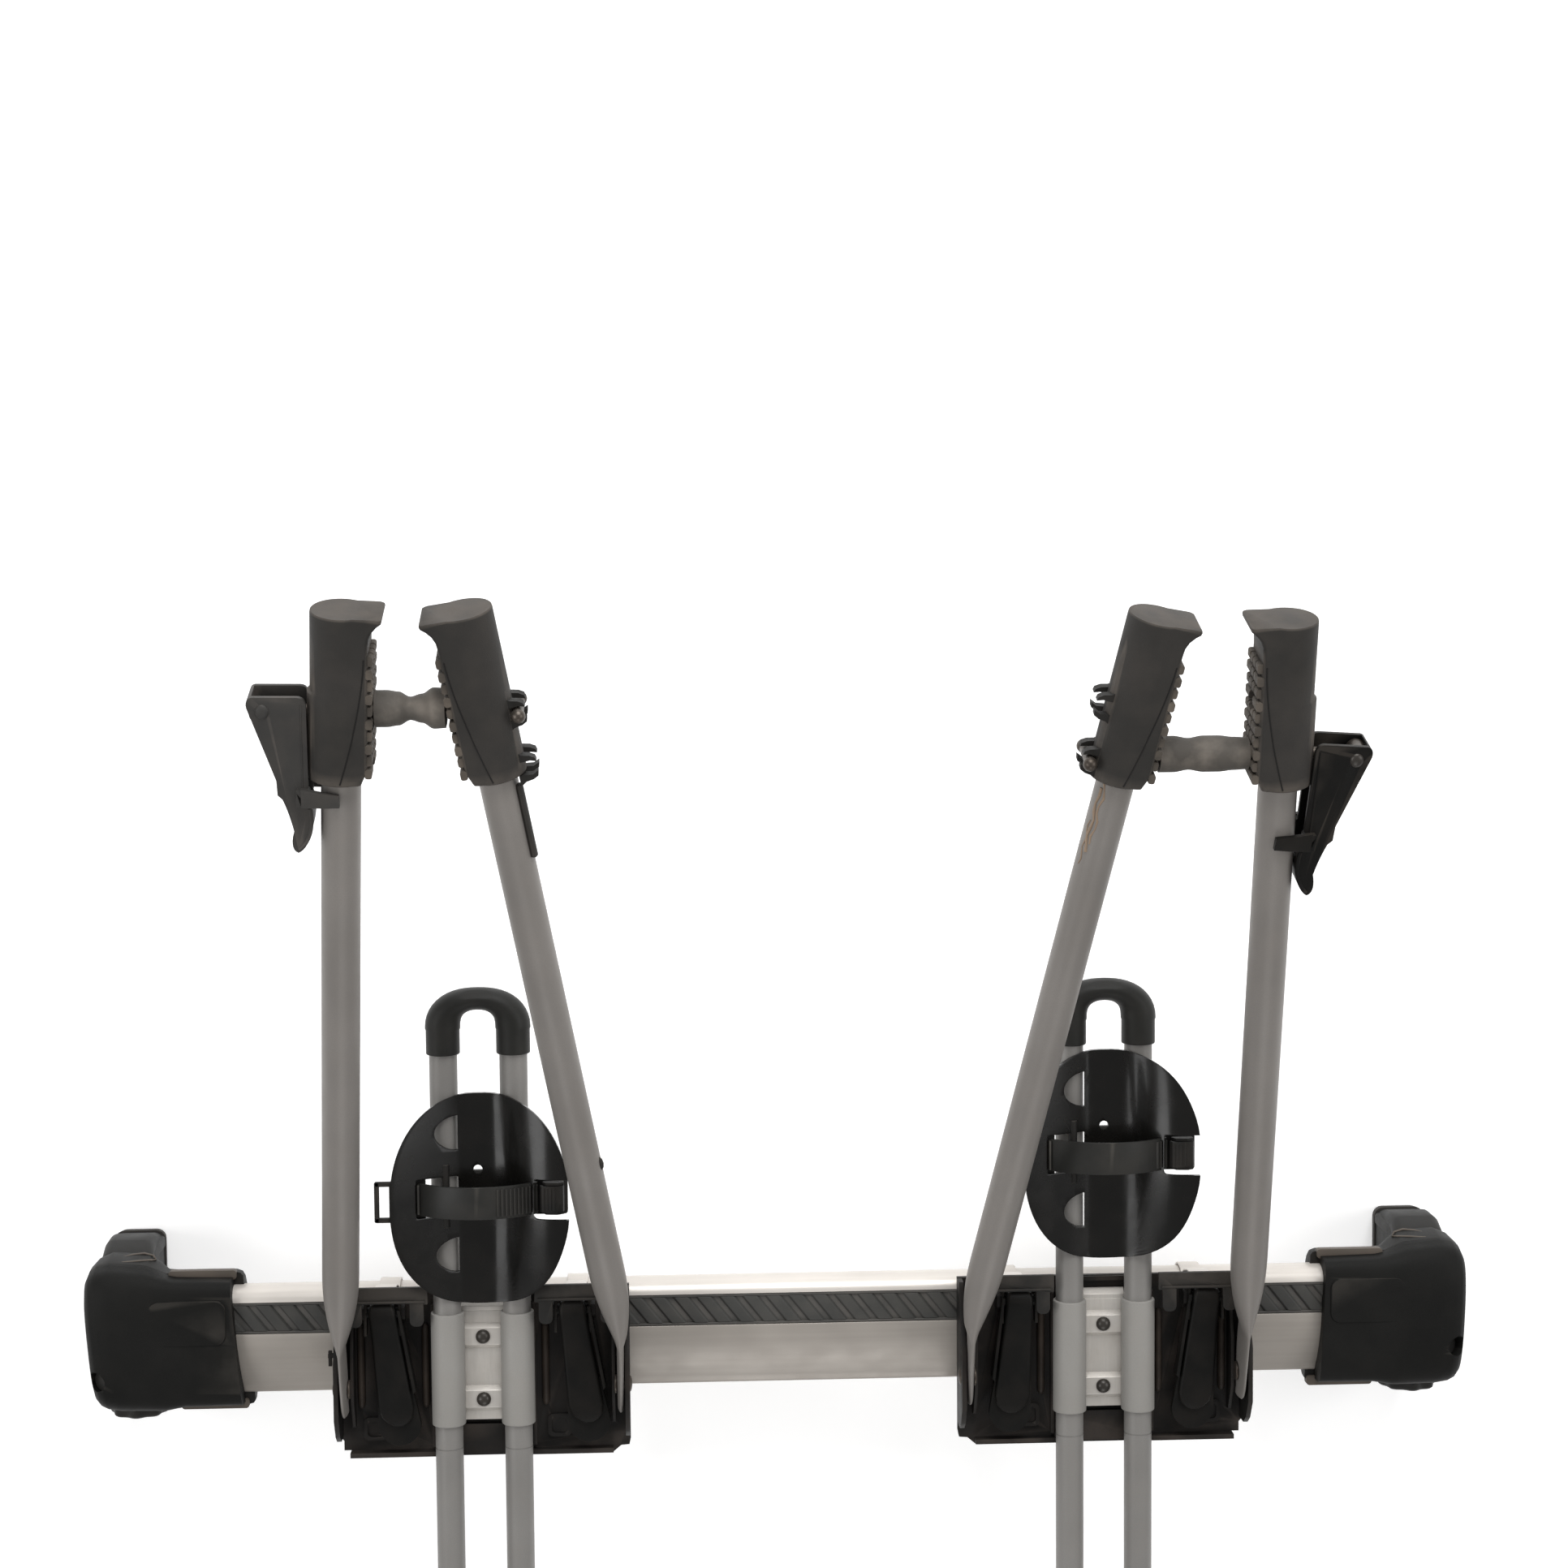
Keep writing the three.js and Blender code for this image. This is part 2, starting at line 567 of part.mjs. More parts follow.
function wheelTray() {
  const half = TRAY_WIDTH / 2;
  const surface = [
    [-half, TRAY_RISE],
    [-half * 0.75, TRAY_RISE * 0.72],
    [-RAIL_SPACING / 2, TRAY_WALL + 1],
    [-11, -1],
    [-7, -3],
    [7, -3],
    [11, -1],
    [RAIL_SPACING / 2, TRAY_WALL + 1],
    [half * 0.75, TRAY_RISE * 0.72],
    [half, TRAY_RISE],
  ];
  const under = surface.map(([x, z]) => [x, z - TRAY_WALL]).reverse();
  const shell = extrudeY(polygon([...surface, ...under].reverse()), TRAY_LENGTH);
  const oval = extrudeZ(trayOutline(), 60, -20, 5);
  const loop = cut(
    box(14, 30, 4, -half - 3, 0, TRAY_RISE - 4),
    box(8, 23, 6, -half - 4.5, 0, TRAY_RISE - 4),
  );
  const strapSlot = box(7, STRAP_WIDTH + 4, 40, -STRAP_HALF, 0, 10);
  const window = (y) => {
    const shape = new THREE.Shape();
    shape.moveTo(-27, y - 11);
    shape.lineTo(-27, y + 11);
    shape.bezierCurveTo(-38, y + 9, -38, y - 9, -27, y - 11);
    return extrudeZ(shape, 60, -20, 3);
  };
  const hole = rod("z", 5, 60, [0, 14, 0], 12);
  return cut(join(shell.intersect(oval), loop), strapSlot, window(43), window(-43), hole);
}

// The strap over the tyre: an arc from its slot in the left wing to the buckle, widened into a band.
function strap() {
  const rise = STRAP_CROWN - 12;
  const radius = (STRAP_HALF * STRAP_HALF + rise * rise) / (2 * rise);
  const centre = STRAP_CROWN - radius;
  const sweep = Math.asin(STRAP_HALF / radius);
  const shape = new THREE.Shape();
  shape.absarc(0, centre, radius, Math.PI / 2 + sweep, Math.PI / 2 - sweep, true);
  shape.absarc(0, centre, radius - STRAP_THICKNESS, Math.PI / 2 - sweep, Math.PI / 2 + sweep, false);
  return extrudeY(shape, STRAP_WIDTH, 0, 5);
}

// The strap's ratchet buckle, drawn about its hinge pin.
function buckle() {
  const shape = new THREE.Shape();
  shape.moveTo(3.5, -3.5);
  shape.lineTo(3.5, 4);
  shape.quadraticCurveTo(-2, 9, -12, 7);
  shape.lineTo(-13.5, 2);
  shape.lineTo(-10, -3.5);
  return extrudeY(shape, STRAP_WIDTH - 1, 0, 4);
}

function trayGroup(where, withStrap) {
  const group = new THREE.Group();
  group.add(piece("wheel_tray_" + where, wheelTray(), "gloss"));
  if (withStrap) {
    const lever = piece("strap_buckle_" + where, buckle(), "plastic");
    lever.position.set(BUCKLE_X, 0, 12);
    group.add(piece("wheel_strap_" + where, strap(), "rubber"), lever);
  }
  return group;
}

// ---------------------------------------------------------------- rear clamp

// The block that holds both rails on the rear bar, with its track bolt and nut. z = 0 is the bar's top.
function rearSaddle() {
  const height = RAIL_TOP + SADDLE_WALL - BAR_TOP - 1;
  const width = RAIL_SPACING + 2 * (RAIL_RADIUS + SADDLE_WALL + 1);
  const railHeight = RAIL_Z - BAR_TOP;
  const block = extrudeY(roundedRectangle(width, height, 7, 0, 1 + height / 2), SADDLE_LENGTH, 0, 4);
  const bores = [-1, 1].map((side) =>
    rod("y", RAIL_RADIUS + CLEARANCE, SADDLE_LENGTH + 2, [(side * RAIL_SPACING) / 2, 0, railHeight], 16),
  );
  const stud = rod("z", BOLT_RADIUS, height + STRIP_DEPTH + 16, [0, 0, (height - STRIP_DEPTH) / 2 + 6], 16);
  const nut = box(TRACK_CAVITY - 2, TRACK_CAVITY - 2, 5, 0, 0, -STRIP_DEPTH - 6.4);
  const neck = rod("z", BOLT_RADIUS, 12, [0, 0, -STRIP_DEPTH - 3], 16);
  return join(cut(block, ...bores), stud, neck, nut);
}

function saddleKnob() {
  const lobes = 5;
  const shape = new THREE.Shape();
  const steps = lobes * 4;
  for (let i = 0; i < steps; i++) {
    const turn = (i / steps) * Math.PI * 2;
    const r = 20 + 3 * Math.cos(turn * lobes);
    if (i === 0) shape.moveTo(r, 0);
    else shape.lineTo(r * Math.cos(turn), r * Math.sin(turn));
  }
  const bore = rod("z", BOLT_RADIUS + CLEARANCE, 40, [0, 0, 0], 16);
  return cut(join(extrudeZ(shape, 14, 4), rod("z", 11, 5, [0, 0, 2.5])), bore);
}

// ---------------------------------------------------------------- frame holder, outer side towards -X

// One arm about its pivot: a flattened, rounded blade that opens into a round tube
// and leans by `lean` degrees.
function arm(lean) {
  const slope = Math.tan(degrees(lean));
  const half = BLADE_WIDTH / 2;
  const stations = [
    [-19, BLADE_THICKNESS / 2, half * 0.35],
    [-17, BLADE_THICKNESS / 2, half * 0.66],
    [-12, BLADE_THICKNESS / 2, half * 0.9],
    [-4, BLADE_THICKNESS / 2, half],
    [ARM_BEND - 6, BLADE_THICKNESS / 2, half],
    [ARM_BEND + 4, BLADE_THICKNESS / 2 + 0.8, half - 0.3],
    [ARM_BEND + 16, ARM_RADIUS * 0.55, half - 1.5],
    [ARM_BEND + 32, ARM_RADIUS * 0.88, half - 3.2],
    [ARM_ROUND, ARM_RADIUS, ARM_RADIUS],
    [ARM_REACH, ARM_RADIUS, ARM_RADIUS],
  ];
  const across = new THREE.Vector3(1, 0, 0);
  const up = new THREE.Vector3(0, 0, 1);
  const axisAt = (along) => Math.max(0, along - ARM_BEND) * slope;
  const skin = loft(
    stations.map(([along, x, z]) => oval(new THREE.Vector3(axisAt(along), along, 0), across, up, x, z, 16)),
  );
  const boreStart = ARM_ROUND + 20;
  const inner = ARM_RADIUS - ARM_WALL;
  const bore = loft(
    [boreStart, ARM_REACH + 1].map((along) =>
      oval(new THREE.Vector3(axisAt(along), along, 0), across, up, inner, inner, 10),
    ),
  );
  const boltHoles = Object.values(BOLT_LEVELS).map((level) =>
    rod("x", BOLT_RADIUS + 1.5, 60, [axisAt(level), level, 0], 8),
  );
  return cut(skin, bore, ...boltHoles, rod("x", PIVOT_RADIUS + CLEARANCE, 20, [0, 0, 0], 12));
}

// A jaw, drawn along its tube's axis with its gripping face towards +X and its lower end at y = 0.
function jaw(lean, hooked) {
  const half = JAW_DEPTH / 2;
  const section = (face, y) => {
    const shape = new THREE.Shape();
    const start = Math.asin(half / JAW_RADIUS);
    shape.moveTo(face, -half + 3);
    shape.lineTo(face, half - 3);
    shape.quadraticCurveTo(face, half, face - 3, half);
    shape.lineTo(JAW_RADIUS * Math.cos(start), half);
    shape.absarc(0, 0, JAW_RADIUS, start, Math.PI * 2 - start, false);
    shape.lineTo(face - 3, -half);
    shape.quadraticCurveTo(face, -half, face, -half + 3);
    return shape
      .getPoints(3)
      .slice(0, -1)
      .map((p) => new THREE.Vector3(p.x, y, p.y));
  };
  const top = JAW_LENGTH;
  const body = loft([
    section(JAW_FACE - 4, 0),
    section(JAW_FACE, 10),
    section(JAW_FACE, top - 26),
    section(JAW_FACE + JAW_FLARE * 0.4, top - 14),
    section(JAW_FACE + JAW_FLARE, top - 6),
    section(JAW_FACE + JAW_FLARE, top),
  ]);
  const bore = rod("y", ARM_RADIUS + CLEARANCE, 2 * (ARM_REACH - JAW_START + 8), [0, 0, 0], 16);
  const levels = Object.values(BOLT_LEVELS).map((level) => (level - JAW_START) / Math.cos(degrees(lean)));
  const holes = levels.map((level) =>
    rod("x", BOLT_RADIUS + 1.8, 120, [0, 0, 0], 8).rotate([0, 0, lean]).translate([0, level, 0]),
  );
  const drop = CROSS_STANDOFF * Math.sin(degrees(lean));
  const claws = hooked ? levels.flatMap((level) => [-1, 1].map((side) => claw(level - drop, side))) : [];
  return cut(claws.length ? join(body, ...claws) : body, bore, ...holes);
}

// A claw behind the jaw that the bolt's cross-piece lies in, open away from the gripping face.
function claw(level, side) {
  const reach = CROSS_STANDOFF + 6;
  const room = BOLT_RADIUS + 0.6;
  const shape = polygon([
    [-10, level - room - 3],
    [-reach + 3, level - room - 3],
    [-reach, level - room + 2],
    [-reach + 5, level - room],
    [-JAW_RADIUS, level - room],
    [-JAW_RADIUS, level + room],
    [-reach + 4, level + room],
    [-reach + 1, level + room + 3],
    [-10, level + room + 3],
  ].reverse());
  return extrudeZ(shape, 5, side * 7 - 2.5);
}

// The bolt through both jaws, about the lever's pin: an eye at the pin
// and a ball-ended cross-piece at the far end.
function clampBolt(length) {
  return cut(
    join(
      rod("x", BOLT_RADIUS, length, [length / 2, 0, 0], 10),
      rod("z", 6.5, LEVER_DEPTH - 2 * LEVER_WALL - 2, [0, 0, 0], 12),
      rod("z", BOLT_RADIUS - 0.6, BOLT_CROSS, [length, 0, 0], 8),
      ball(BOLT_BALL, [length, 0, BOLT_CROSS / 2]),
      ball(BOLT_BALL, [length, 0, -BOLT_CROSS / 2]),
    ),
    rod("z", LEVER_PIN + CLEARANCE, 40, [0, 0, 0], 10),
  );
}

// The clamp lever about its pin: a channel whose flanks press on the jaw,
// a curled finger grip and two catch prongs.
function clampLever() {
  const face = LEVER_BACKSET - 1.5;
  const outline = new THREE.Shape();
  outline.moveTo(-11, 7);
  outline.quadraticCurveTo(-11, 12, -7, 12);
  outline.lineTo(face - 6, 12);
  outline.quadraticCurveTo(face, 11, face, 4);
  outline.lineTo(face, -72);
  outline.bezierCurveTo(face + 5, -82, face + 2, -97, face - 6, -102);
  outline.quadraticCurveTo(face - 12, -103, face - 12, -90);
  outline.quadraticCurveTo(face - 15, -74, face - 19, -62);
  outline.lineTo(face - 23, -61);
  outline.lineTo(face - 23, -50);
  outline.lineTo(-11, -8);
  const half = LEVER_DEPTH / 2;
  const body = extrudeZ(outline, LEVER_DEPTH, -half, 3);
  const channel = extrudeZ(
    polygon([
      [-8, 20],
      [-8, -7],
      [face - 18, -46],
      [face - 18, -66],
      [face + 6, -66],
      [face + 6, 20],
    ]),
    LEVER_DEPTH - 2 * LEVER_WALL,
    -half + LEVER_WALL,
  );
  const prong = (side) =>
    box(24, 11, 4, face + 9, -64, side * (ARM_RADIUS + 0.8 + 2)).add(
      box(8, 11, 8, face - 4, -64, side * (half + 1)),
    );
  return join(cut(body, channel), rod("z", LEVER_PIN, LEVER_DEPTH + 4, [0, 0, 0], 10), prong(1), prong(-1));
}

// The rubber sleeve on the bolt between the jaws, turned about X from x = 0.
function boltSleeve(length, radii) {
  const profile = [new THREE.Vector2(BOLT_RADIUS + CLEARANCE, 0)];
  radii.forEach((radius, i) => profile.push(new THREE.Vector2(radius, (length * i) / (radii.length - 1))));
  profile.push(new THREE.Vector2(BOLT_RADIUS + CLEARANCE, length));
  profile.push(profile[0].clone());
  return solid(new THREE.LatheGeometry(profile, 12).rotateZ(-Math.PI / 2));
}

function frameHolder(where, { outerLean, innerLean, boltLevel, sleeveRadii }) {
  const level = BOLT_LEVELS[boltLevel];
  const holder = new THREE.Group();
  holder.name = "fold_" + where;
  holder.position.set(0, -PIVOT_BEHIND, PIVOT_Z);
  holder.rotation.x = degrees(FOLD_REST);

  const armAxis = (lean, along) => PIVOT_X - (along - ARM_BEND) * Math.tan(degrees(lean));
  const addArm = (which, side, lean) => {
    const tube = piece(`arm_${which}_${where}`, arm(lean), "tube");
    tube.position.x = side * PIVOT_X;
    tube.scale.x = -side;
    const head = piece(`jaw_${which}_${where}`, jaw(lean, which === "inner"), "rubber");
    head.position.set(side * armAxis(lean, JAW_START), JAW_START, 0);
    head.rotation.z = side * degrees(lean);
    head.scale.x = -side;
    holder.add(tube, head);
  };
  addArm("outer", -1, outerLean);
  addArm("inner", 1, innerLean);

  const pinX = -armAxis(outerLean, level) - LEVER_STANDOFF;
  const crossX = armAxis(innerLean, level) + CROSS_STANDOFF;
  const bolt = piece("clamp_bolt_" + where, clampBolt(crossX - pinX), "steel");
  const lever = piece("clamp_lever_" + where, clampLever(), "plastic");
  bolt.position.set(pinX, level, 0);
  lever.position.copy(bolt.position);
  const sleeveRadius = Math.max(...sleeveRadii);
  const grip = (lean) => JAW_FACE / Math.cos(degrees(lean)) + sleeveRadius * Math.tan(degrees(lean)) + 0.8;
  const from = -armAxis(outerLean, level) + grip(outerLean);
  const to = armAxis(innerLean, level) - grip(innerLean);
  const sleeve = piece("bolt_sleeve_" + where, boltSleeve(to - from, sleeveRadii), "rubber");
  sleeve.position.set(from, level, 0);
  holder.add(bolt, lever, sleeve);
  return holder;
}

// ---------------------------------------------------------------- a whole carrier

const CARRIERS = {
  left: {
    side: -1,
    trayY: 109,
    holder: {
      outerLean: 3.2,
      innerLean: 9.5,
      boltLevel: "upper",
      sleeveRadii: [11, 9, 7, 7, 11, 13, 12],
    },
  },
  right: {
    side: 1,
    trayY: 133,
    holder: {
      outerLean: 1.4,
      innerLean: 10.6,
      boltLevel: "lower",
      sleeveRadii: [10.5, 11, 12, 12, 10.5, 12, 12],
    },
  },
};

const carrierX = (side) => side * CARRIER_OFFSET + CARRIER_SHIFT;

function carrier(where, { side, trayY, holder }) {
  const group = new THREE.Group();
  group.position.x = carrierX(side);

  const handed = new THREE.Group(); // mirrored on the right, so that the levers face outwards on both sides
  handed.scale.x = -side;
  handed.add(piece("base_housing_" + where, housing(), "plastic"));
  const cams = { outer: { x: -CAM_X, lean: 5 }, inner: { x: CAM_X, lean: 4 } };
  for (const [which, { x, lean }] of Object.entries(cams)) {
    const lever = piece(`base_lever_${which}_${where}`, camLever(22, 32, lean), "plastic");
    lever.position.set(x, CAM_Y, CAM_Z);
    const hook = piece(`base_hook_${which}_${where}`, clampHook(), "plastic");
    hook.position.x = x;
    handed.add(lever, hook);
  }
  handed.add(frameHolder(where, holder));

  group.add(handed, piece("rail_bracket_" + where, railBracket(), "tube"));
  for (const [which, x] of Object.entries({ a: -RAIL_SPACING / 2, b: RAIL_SPACING / 2 })) {
    const tube = piece(`rail_${which}_${where}`, rail(), "tube");
    tube.position.set(x, 0, RAIL_Z);
    group.add(tube);
  }
  group.add(piece("rail_front_cap_" + where, frontCap(), "plastic"));

  const front = trayGroup("front_" + where, true);
  front.position.set(0, trayY, RAIL_TOP + CLEARANCE);
  const rear = trayGroup("rear_" + where, false);
  rear.position.set(0, -REAR_TRAY_BEHIND, RAIL_TOP + CLEARANCE);

  const saddle = piece("rear_saddle_" + where, rearSaddle(), "plastic");
  saddle.position.set(0, TRACK_OFFSET - BAR_SPACING, BAR_TOP);
  const knob = piece("rear_knob_" + where, saddleKnob(), "plastic");
  knob.position.set(0, TRACK_OFFSET - BAR_SPACING, RAIL_TOP + SADDLE_WALL + CLEARANCE);
  group.add(front, rear, saddle, knob);
  return group;
}

// ---------------------------------------------------------------- assembly

const rack = new THREE.Group();
for (const [end, y] of Object.entries({ front: 0, rear: -BAR_SPACING })) {
  const bar = new THREE.Group();
  bar.position.y = y;
  const bolts = end === "rear" ? [carrierX(-1), carrierX(1)] : [];
  bar.add(piece("crossbar_" + end, crossbar(), "anodised"));
  bar.add(piece("track_strip_" + end, trackStrip(bolts), "rubber"));
  bar.add(footGroup(`${end}_left`, -1), footGroup(`${end}_right`, 1));
  rack.add(bar);
}
for (const [where, options] of Object.entries(CARRIERS)) rack.add(carrier(where, options));

// The origin is on the roof, under the middle of the whole rack.
const extent = new THREE.Box3().setFromObject(rack);
const middle = extent.getCenter(new THREE.Vector3());
rack.position.set(-middle.x, -middle.y, -extent.min.z);

export default rack;
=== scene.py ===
"""Looks of a roof bicycle rack: crossbars on feet, twin rails, wheel trays and folding frame holders.

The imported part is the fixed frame. Each sub-assembly is a class that holds its sizes in millimetres,
builds its meshes in the part's own frame and dresses them in a finish.
"""

import json
import logging
import math
from collections.abc import Iterable, Sequence
from dataclasses import dataclass, field
from enum import Enum

import bmesh
import bpy
from mathutils import Matrix, Vector

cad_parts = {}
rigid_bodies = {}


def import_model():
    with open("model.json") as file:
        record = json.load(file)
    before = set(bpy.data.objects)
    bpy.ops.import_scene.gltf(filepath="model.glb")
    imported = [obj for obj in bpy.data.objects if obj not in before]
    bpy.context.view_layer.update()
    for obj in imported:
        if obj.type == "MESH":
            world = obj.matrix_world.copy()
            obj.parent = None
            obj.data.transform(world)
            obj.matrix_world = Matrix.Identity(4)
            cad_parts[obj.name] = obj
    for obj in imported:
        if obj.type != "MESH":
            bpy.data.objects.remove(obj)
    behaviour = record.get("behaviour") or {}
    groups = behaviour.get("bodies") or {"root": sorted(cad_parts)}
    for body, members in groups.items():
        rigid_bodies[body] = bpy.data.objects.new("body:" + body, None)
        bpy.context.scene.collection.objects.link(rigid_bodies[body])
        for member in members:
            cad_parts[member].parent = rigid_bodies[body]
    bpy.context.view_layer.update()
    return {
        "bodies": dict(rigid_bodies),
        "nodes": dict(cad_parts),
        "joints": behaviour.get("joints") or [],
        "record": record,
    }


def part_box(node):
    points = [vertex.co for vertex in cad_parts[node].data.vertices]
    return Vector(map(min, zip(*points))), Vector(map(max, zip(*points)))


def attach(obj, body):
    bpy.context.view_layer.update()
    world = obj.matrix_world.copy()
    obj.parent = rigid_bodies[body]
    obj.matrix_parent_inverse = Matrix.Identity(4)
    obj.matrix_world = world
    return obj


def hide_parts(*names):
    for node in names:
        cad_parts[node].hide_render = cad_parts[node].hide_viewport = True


LOG = logging.getLogger("rack")
MM = 0.001
Pair = tuple[float, float]
Triple = tuple[float, float, float]
Rgb = tuple[int, int, int]
Outline = list[Pair]
Tree = bpy.types.NodeTree
Socket = bpy.types.NodeSocket


class Side(Enum):
    """Which carrier or bar end a piece belongs to. The value is the sign of its place along X."""

    LEFT = -1
    RIGHT = 1

    @property
    def word(self) -> str:
        """The word that node names use."""
        return self.name.lower()


class End(Enum):
    """Which crossbar a piece is on."""

    FRONT = "front"
    REAR = "rear"


class Axis(Enum):
    """The axis along which a prism or a turned shape runs."""

    X = 0
    Y = 1
    Z = 2

    def lift(self, pair: Pair, along: float) -> Vector:
        """Turns a flat outline pair and a place along the axis into a point.

        Args:
            pair: The outline's two values.
            along: The place along the axis.

        Returns:
            The point.
        """
        a, b = pair
        if self is Axis.X:
            return Vector((along, a, b))
        if self is Axis.Y:
            return Vector((a, along, b))
        return Vector((a, b, along))


# --------------------------------------------------------------------------- finishes


def linear(red: int, green: int, blue: int) -> tuple[float, float, float, float]:
    """Turns an 8-bit display colour into the linear colour that shaders take.

    Args:
        red: Red, 0 to 255.
        green: Green, 0 to 255.
        blue: Blue, 0 to 255.

    Returns:
        Linear red, green, blue and alpha.
    """
    def one(value: int) -> float:
        """One channel, by the display's own curve."""
        v = value / 255
        return v / 12.92 if v <= 0.04045 else ((v + 0.055) / 1.055) ** 2.4

    return (one(red), one(green), one(blue), 1.0)


@dataclass(frozen=True)
class Finish:
    """A surface finish: colour with mottling, grain, dust on upward faces and pale worn edges."""

    name: str
    slot: str
    colour: Rgb
    mottle: Rgb
    roughness: Pair = (0.5, 0.65)
    metallic: float = 0.0
    grain: float = 900.0
    stretch: Triple = (1.0, 1.0, 1.0)
    bump: float = 0.12
    dust: Rgb = (120, 106, 92)
    dust_amount: float = 0.0
    wear: Rgb = (140, 134, 126)
    wear_amount: float = 0.0
    coat: float = 0.0
    specular: float = 0.5
    coat_roughness: float = 0.12
    broad_scale: float = 14.0
    patch_scale: float = 45.0
    grain_shade: float = 0.72
    bump_depth: float = 0.0006

    def material(self) -> bpy.types.Material:
        """Makes the material once, and finds it again afterwards.

        Returns:
            The material with its node graph.
        """
        found = bpy.data.materials.get(self.name)
        if found:
            return found
        material = bpy.data.materials.new(self.name)
        material.use_nodes = True
        tree = material.node_tree
        tree.nodes.clear()
        output = tree.nodes.new("ShaderNodeOutputMaterial")
        shader = tree.nodes.new("ShaderNodeBsdfPrincipled")
        tree.links.new(shader.outputs["BSDF"], output.inputs["Surface"])
        shader.inputs["Metallic"].default_value = self.metallic
        shader.inputs["Coat Weight"].default_value = self.coat
        shader.inputs["Coat Roughness"].default_value = self.coat_roughness
        shader.inputs["Specular IOR Level"].default_value = self.specular
        place = tree.nodes.new("ShaderNodeTexCoord").outputs["Object"]
        broad = self._noise(tree, place, self.broad_scale, 5.0)
        patches = self._noise(tree, place, self.patch_scale, 6.0)
        mapping = tree.nodes.new("ShaderNodeMapping")
        mapping.inputs["Scale"].default_value = self.stretch
        tree.links.new(place, mapping.inputs["Vector"])
        grain = self._noise(tree, mapping.outputs["Vector"], self.grain, 3.0)
        mottled = self._range(tree, broad, 0.35, 0.7, 0.0, 1.0)
        base = self._blend(tree, mottled, linear(*self.colour), linear(*self.mottle))
        speckle = self._range(tree, grain, 0.3, 0.75, 0.0, 0.35)
        darker = tuple(c * self.grain_shade for c in linear(*self.colour)[:3]) + (1.0,)
        base = self._blend(tree, speckle, base, darker)
        if self.dust_amount:
            geometry = tree.nodes.new("ShaderNodeNewGeometry")
            split = tree.nodes.new("ShaderNodeSeparateXYZ")
            tree.links.new(geometry.outputs["Normal"], split.inputs["Vector"])
            upward = self._range(tree, split.outputs["Z"], 0.1, 1.0, 0.0, self.dust_amount)
            lying = self._multiply(tree, upward, self._range(tree, patches, 0.42, 0.68, 0.15, 1.0))
            base = self._blend(tree, lying, base, linear(*self.dust))
        if self.wear_amount:
            geometry = tree.nodes.new("ShaderNodeNewGeometry")
            edges = self._range(tree, geometry.outputs["Pointiness"], 0.53, 0.62, 0.0, self.wear_amount)
            rubbed = self._multiply(tree, edges, self._range(tree, patches, 0.35, 0.6, 0.3, 1.0))
            base = self._blend(tree, rubbed, base, linear(*self.wear))
        tree.links.new(base, shader.inputs["Base Color"])
        tree.links.new(self._range(tree, patches, 0.3, 0.7, *self.roughness), shader.inputs["Roughness"])
        bump = tree.nodes.new("ShaderNodeBump")
        bump.inputs["Strength"].default_value = self.bump
        bump.inputs["Distance"].default_value = self.bump_depth
        tree.links.new(grain, bump.inputs["Height"])
        tree.links.new(bump.outputs["Normal"], shader.inputs["Normal"])
        return material

    @staticmethod
    def _noise(tree: Tree, vector: Socket, scale: float, detail: float) -> Socket:
        """Adds a noise texture.

        Args:
            tree: The material's nodes.
            vector: The coordinates.
            scale: How fine the noise is.
            detail: How many octaves it has.

        Returns:
            Its value.
        """
        node = tree.nodes.new("ShaderNodeTexNoise")
        node.inputs["Scale"].default_value = scale
        node.inputs["Detail"].default_value = detail
        tree.links.new(vector, node.inputs["Vector"])
        return node.outputs["Fac"]

    @staticmethod
    def _range(tree: Tree, value: Socket, low: float, high: float, to_low: float, to_high: float) -> Socket:
        """Maps a value from one range to another, clamped.

        Args:
            tree: The material's nodes.
            value: The value.
            low: Where the first range starts.
            high: Where it stops.
            to_low: Where the second range starts.
            to_high: Where it stops.

        Returns:
            The mapped value.
        """
        node = tree.nodes.new("ShaderNodeMapRange")
        for name, number in (("From Min", low), ("From Max", high), ("To Min", to_low), ("To Max", to_high)):
            node.inputs[name].default_value = number
        tree.links.new(value, node.inputs["Value"])
        return node.outputs["Result"]

    @staticmethod
    def _multiply(tree: Tree, a: Socket, b: Socket) -> Socket:
        """Multiplies two values.

        Args:
            tree: The material's nodes.
            a: One value.
            b: The other.

        Returns:
            Their product.
        """
        node = tree.nodes.new("ShaderNodeMath")
        node.operation = "MULTIPLY"
        tree.links.new(a, node.inputs[0])
        tree.links.new(b, node.inputs[1])
        return node.outputs[0]

    @staticmethod
    def _blend(tree: Tree, share: Socket, first: Socket | tuple[float, ...], second: tuple[float, ...]) -> Socket:
        """Mixes two colours.

        Args:
            tree: The material's nodes.
            share: How much of the second colour there is.
            first: The first colour, or the output that gives it.
            second: The second colour.

        Returns:
            The mixed colour.
        """
        node = tree.nodes.new("ShaderNodeMix")
        node.data_type = "RGBA"
        tree.links.new(share, node.inputs[0])
        if isinstance(first, tuple):
            node.inputs[6].default_value = first
        else:
            tree.links.new(first, node.inputs[6])
        node.inputs[7].default_value = second
        return node.outputs[2]


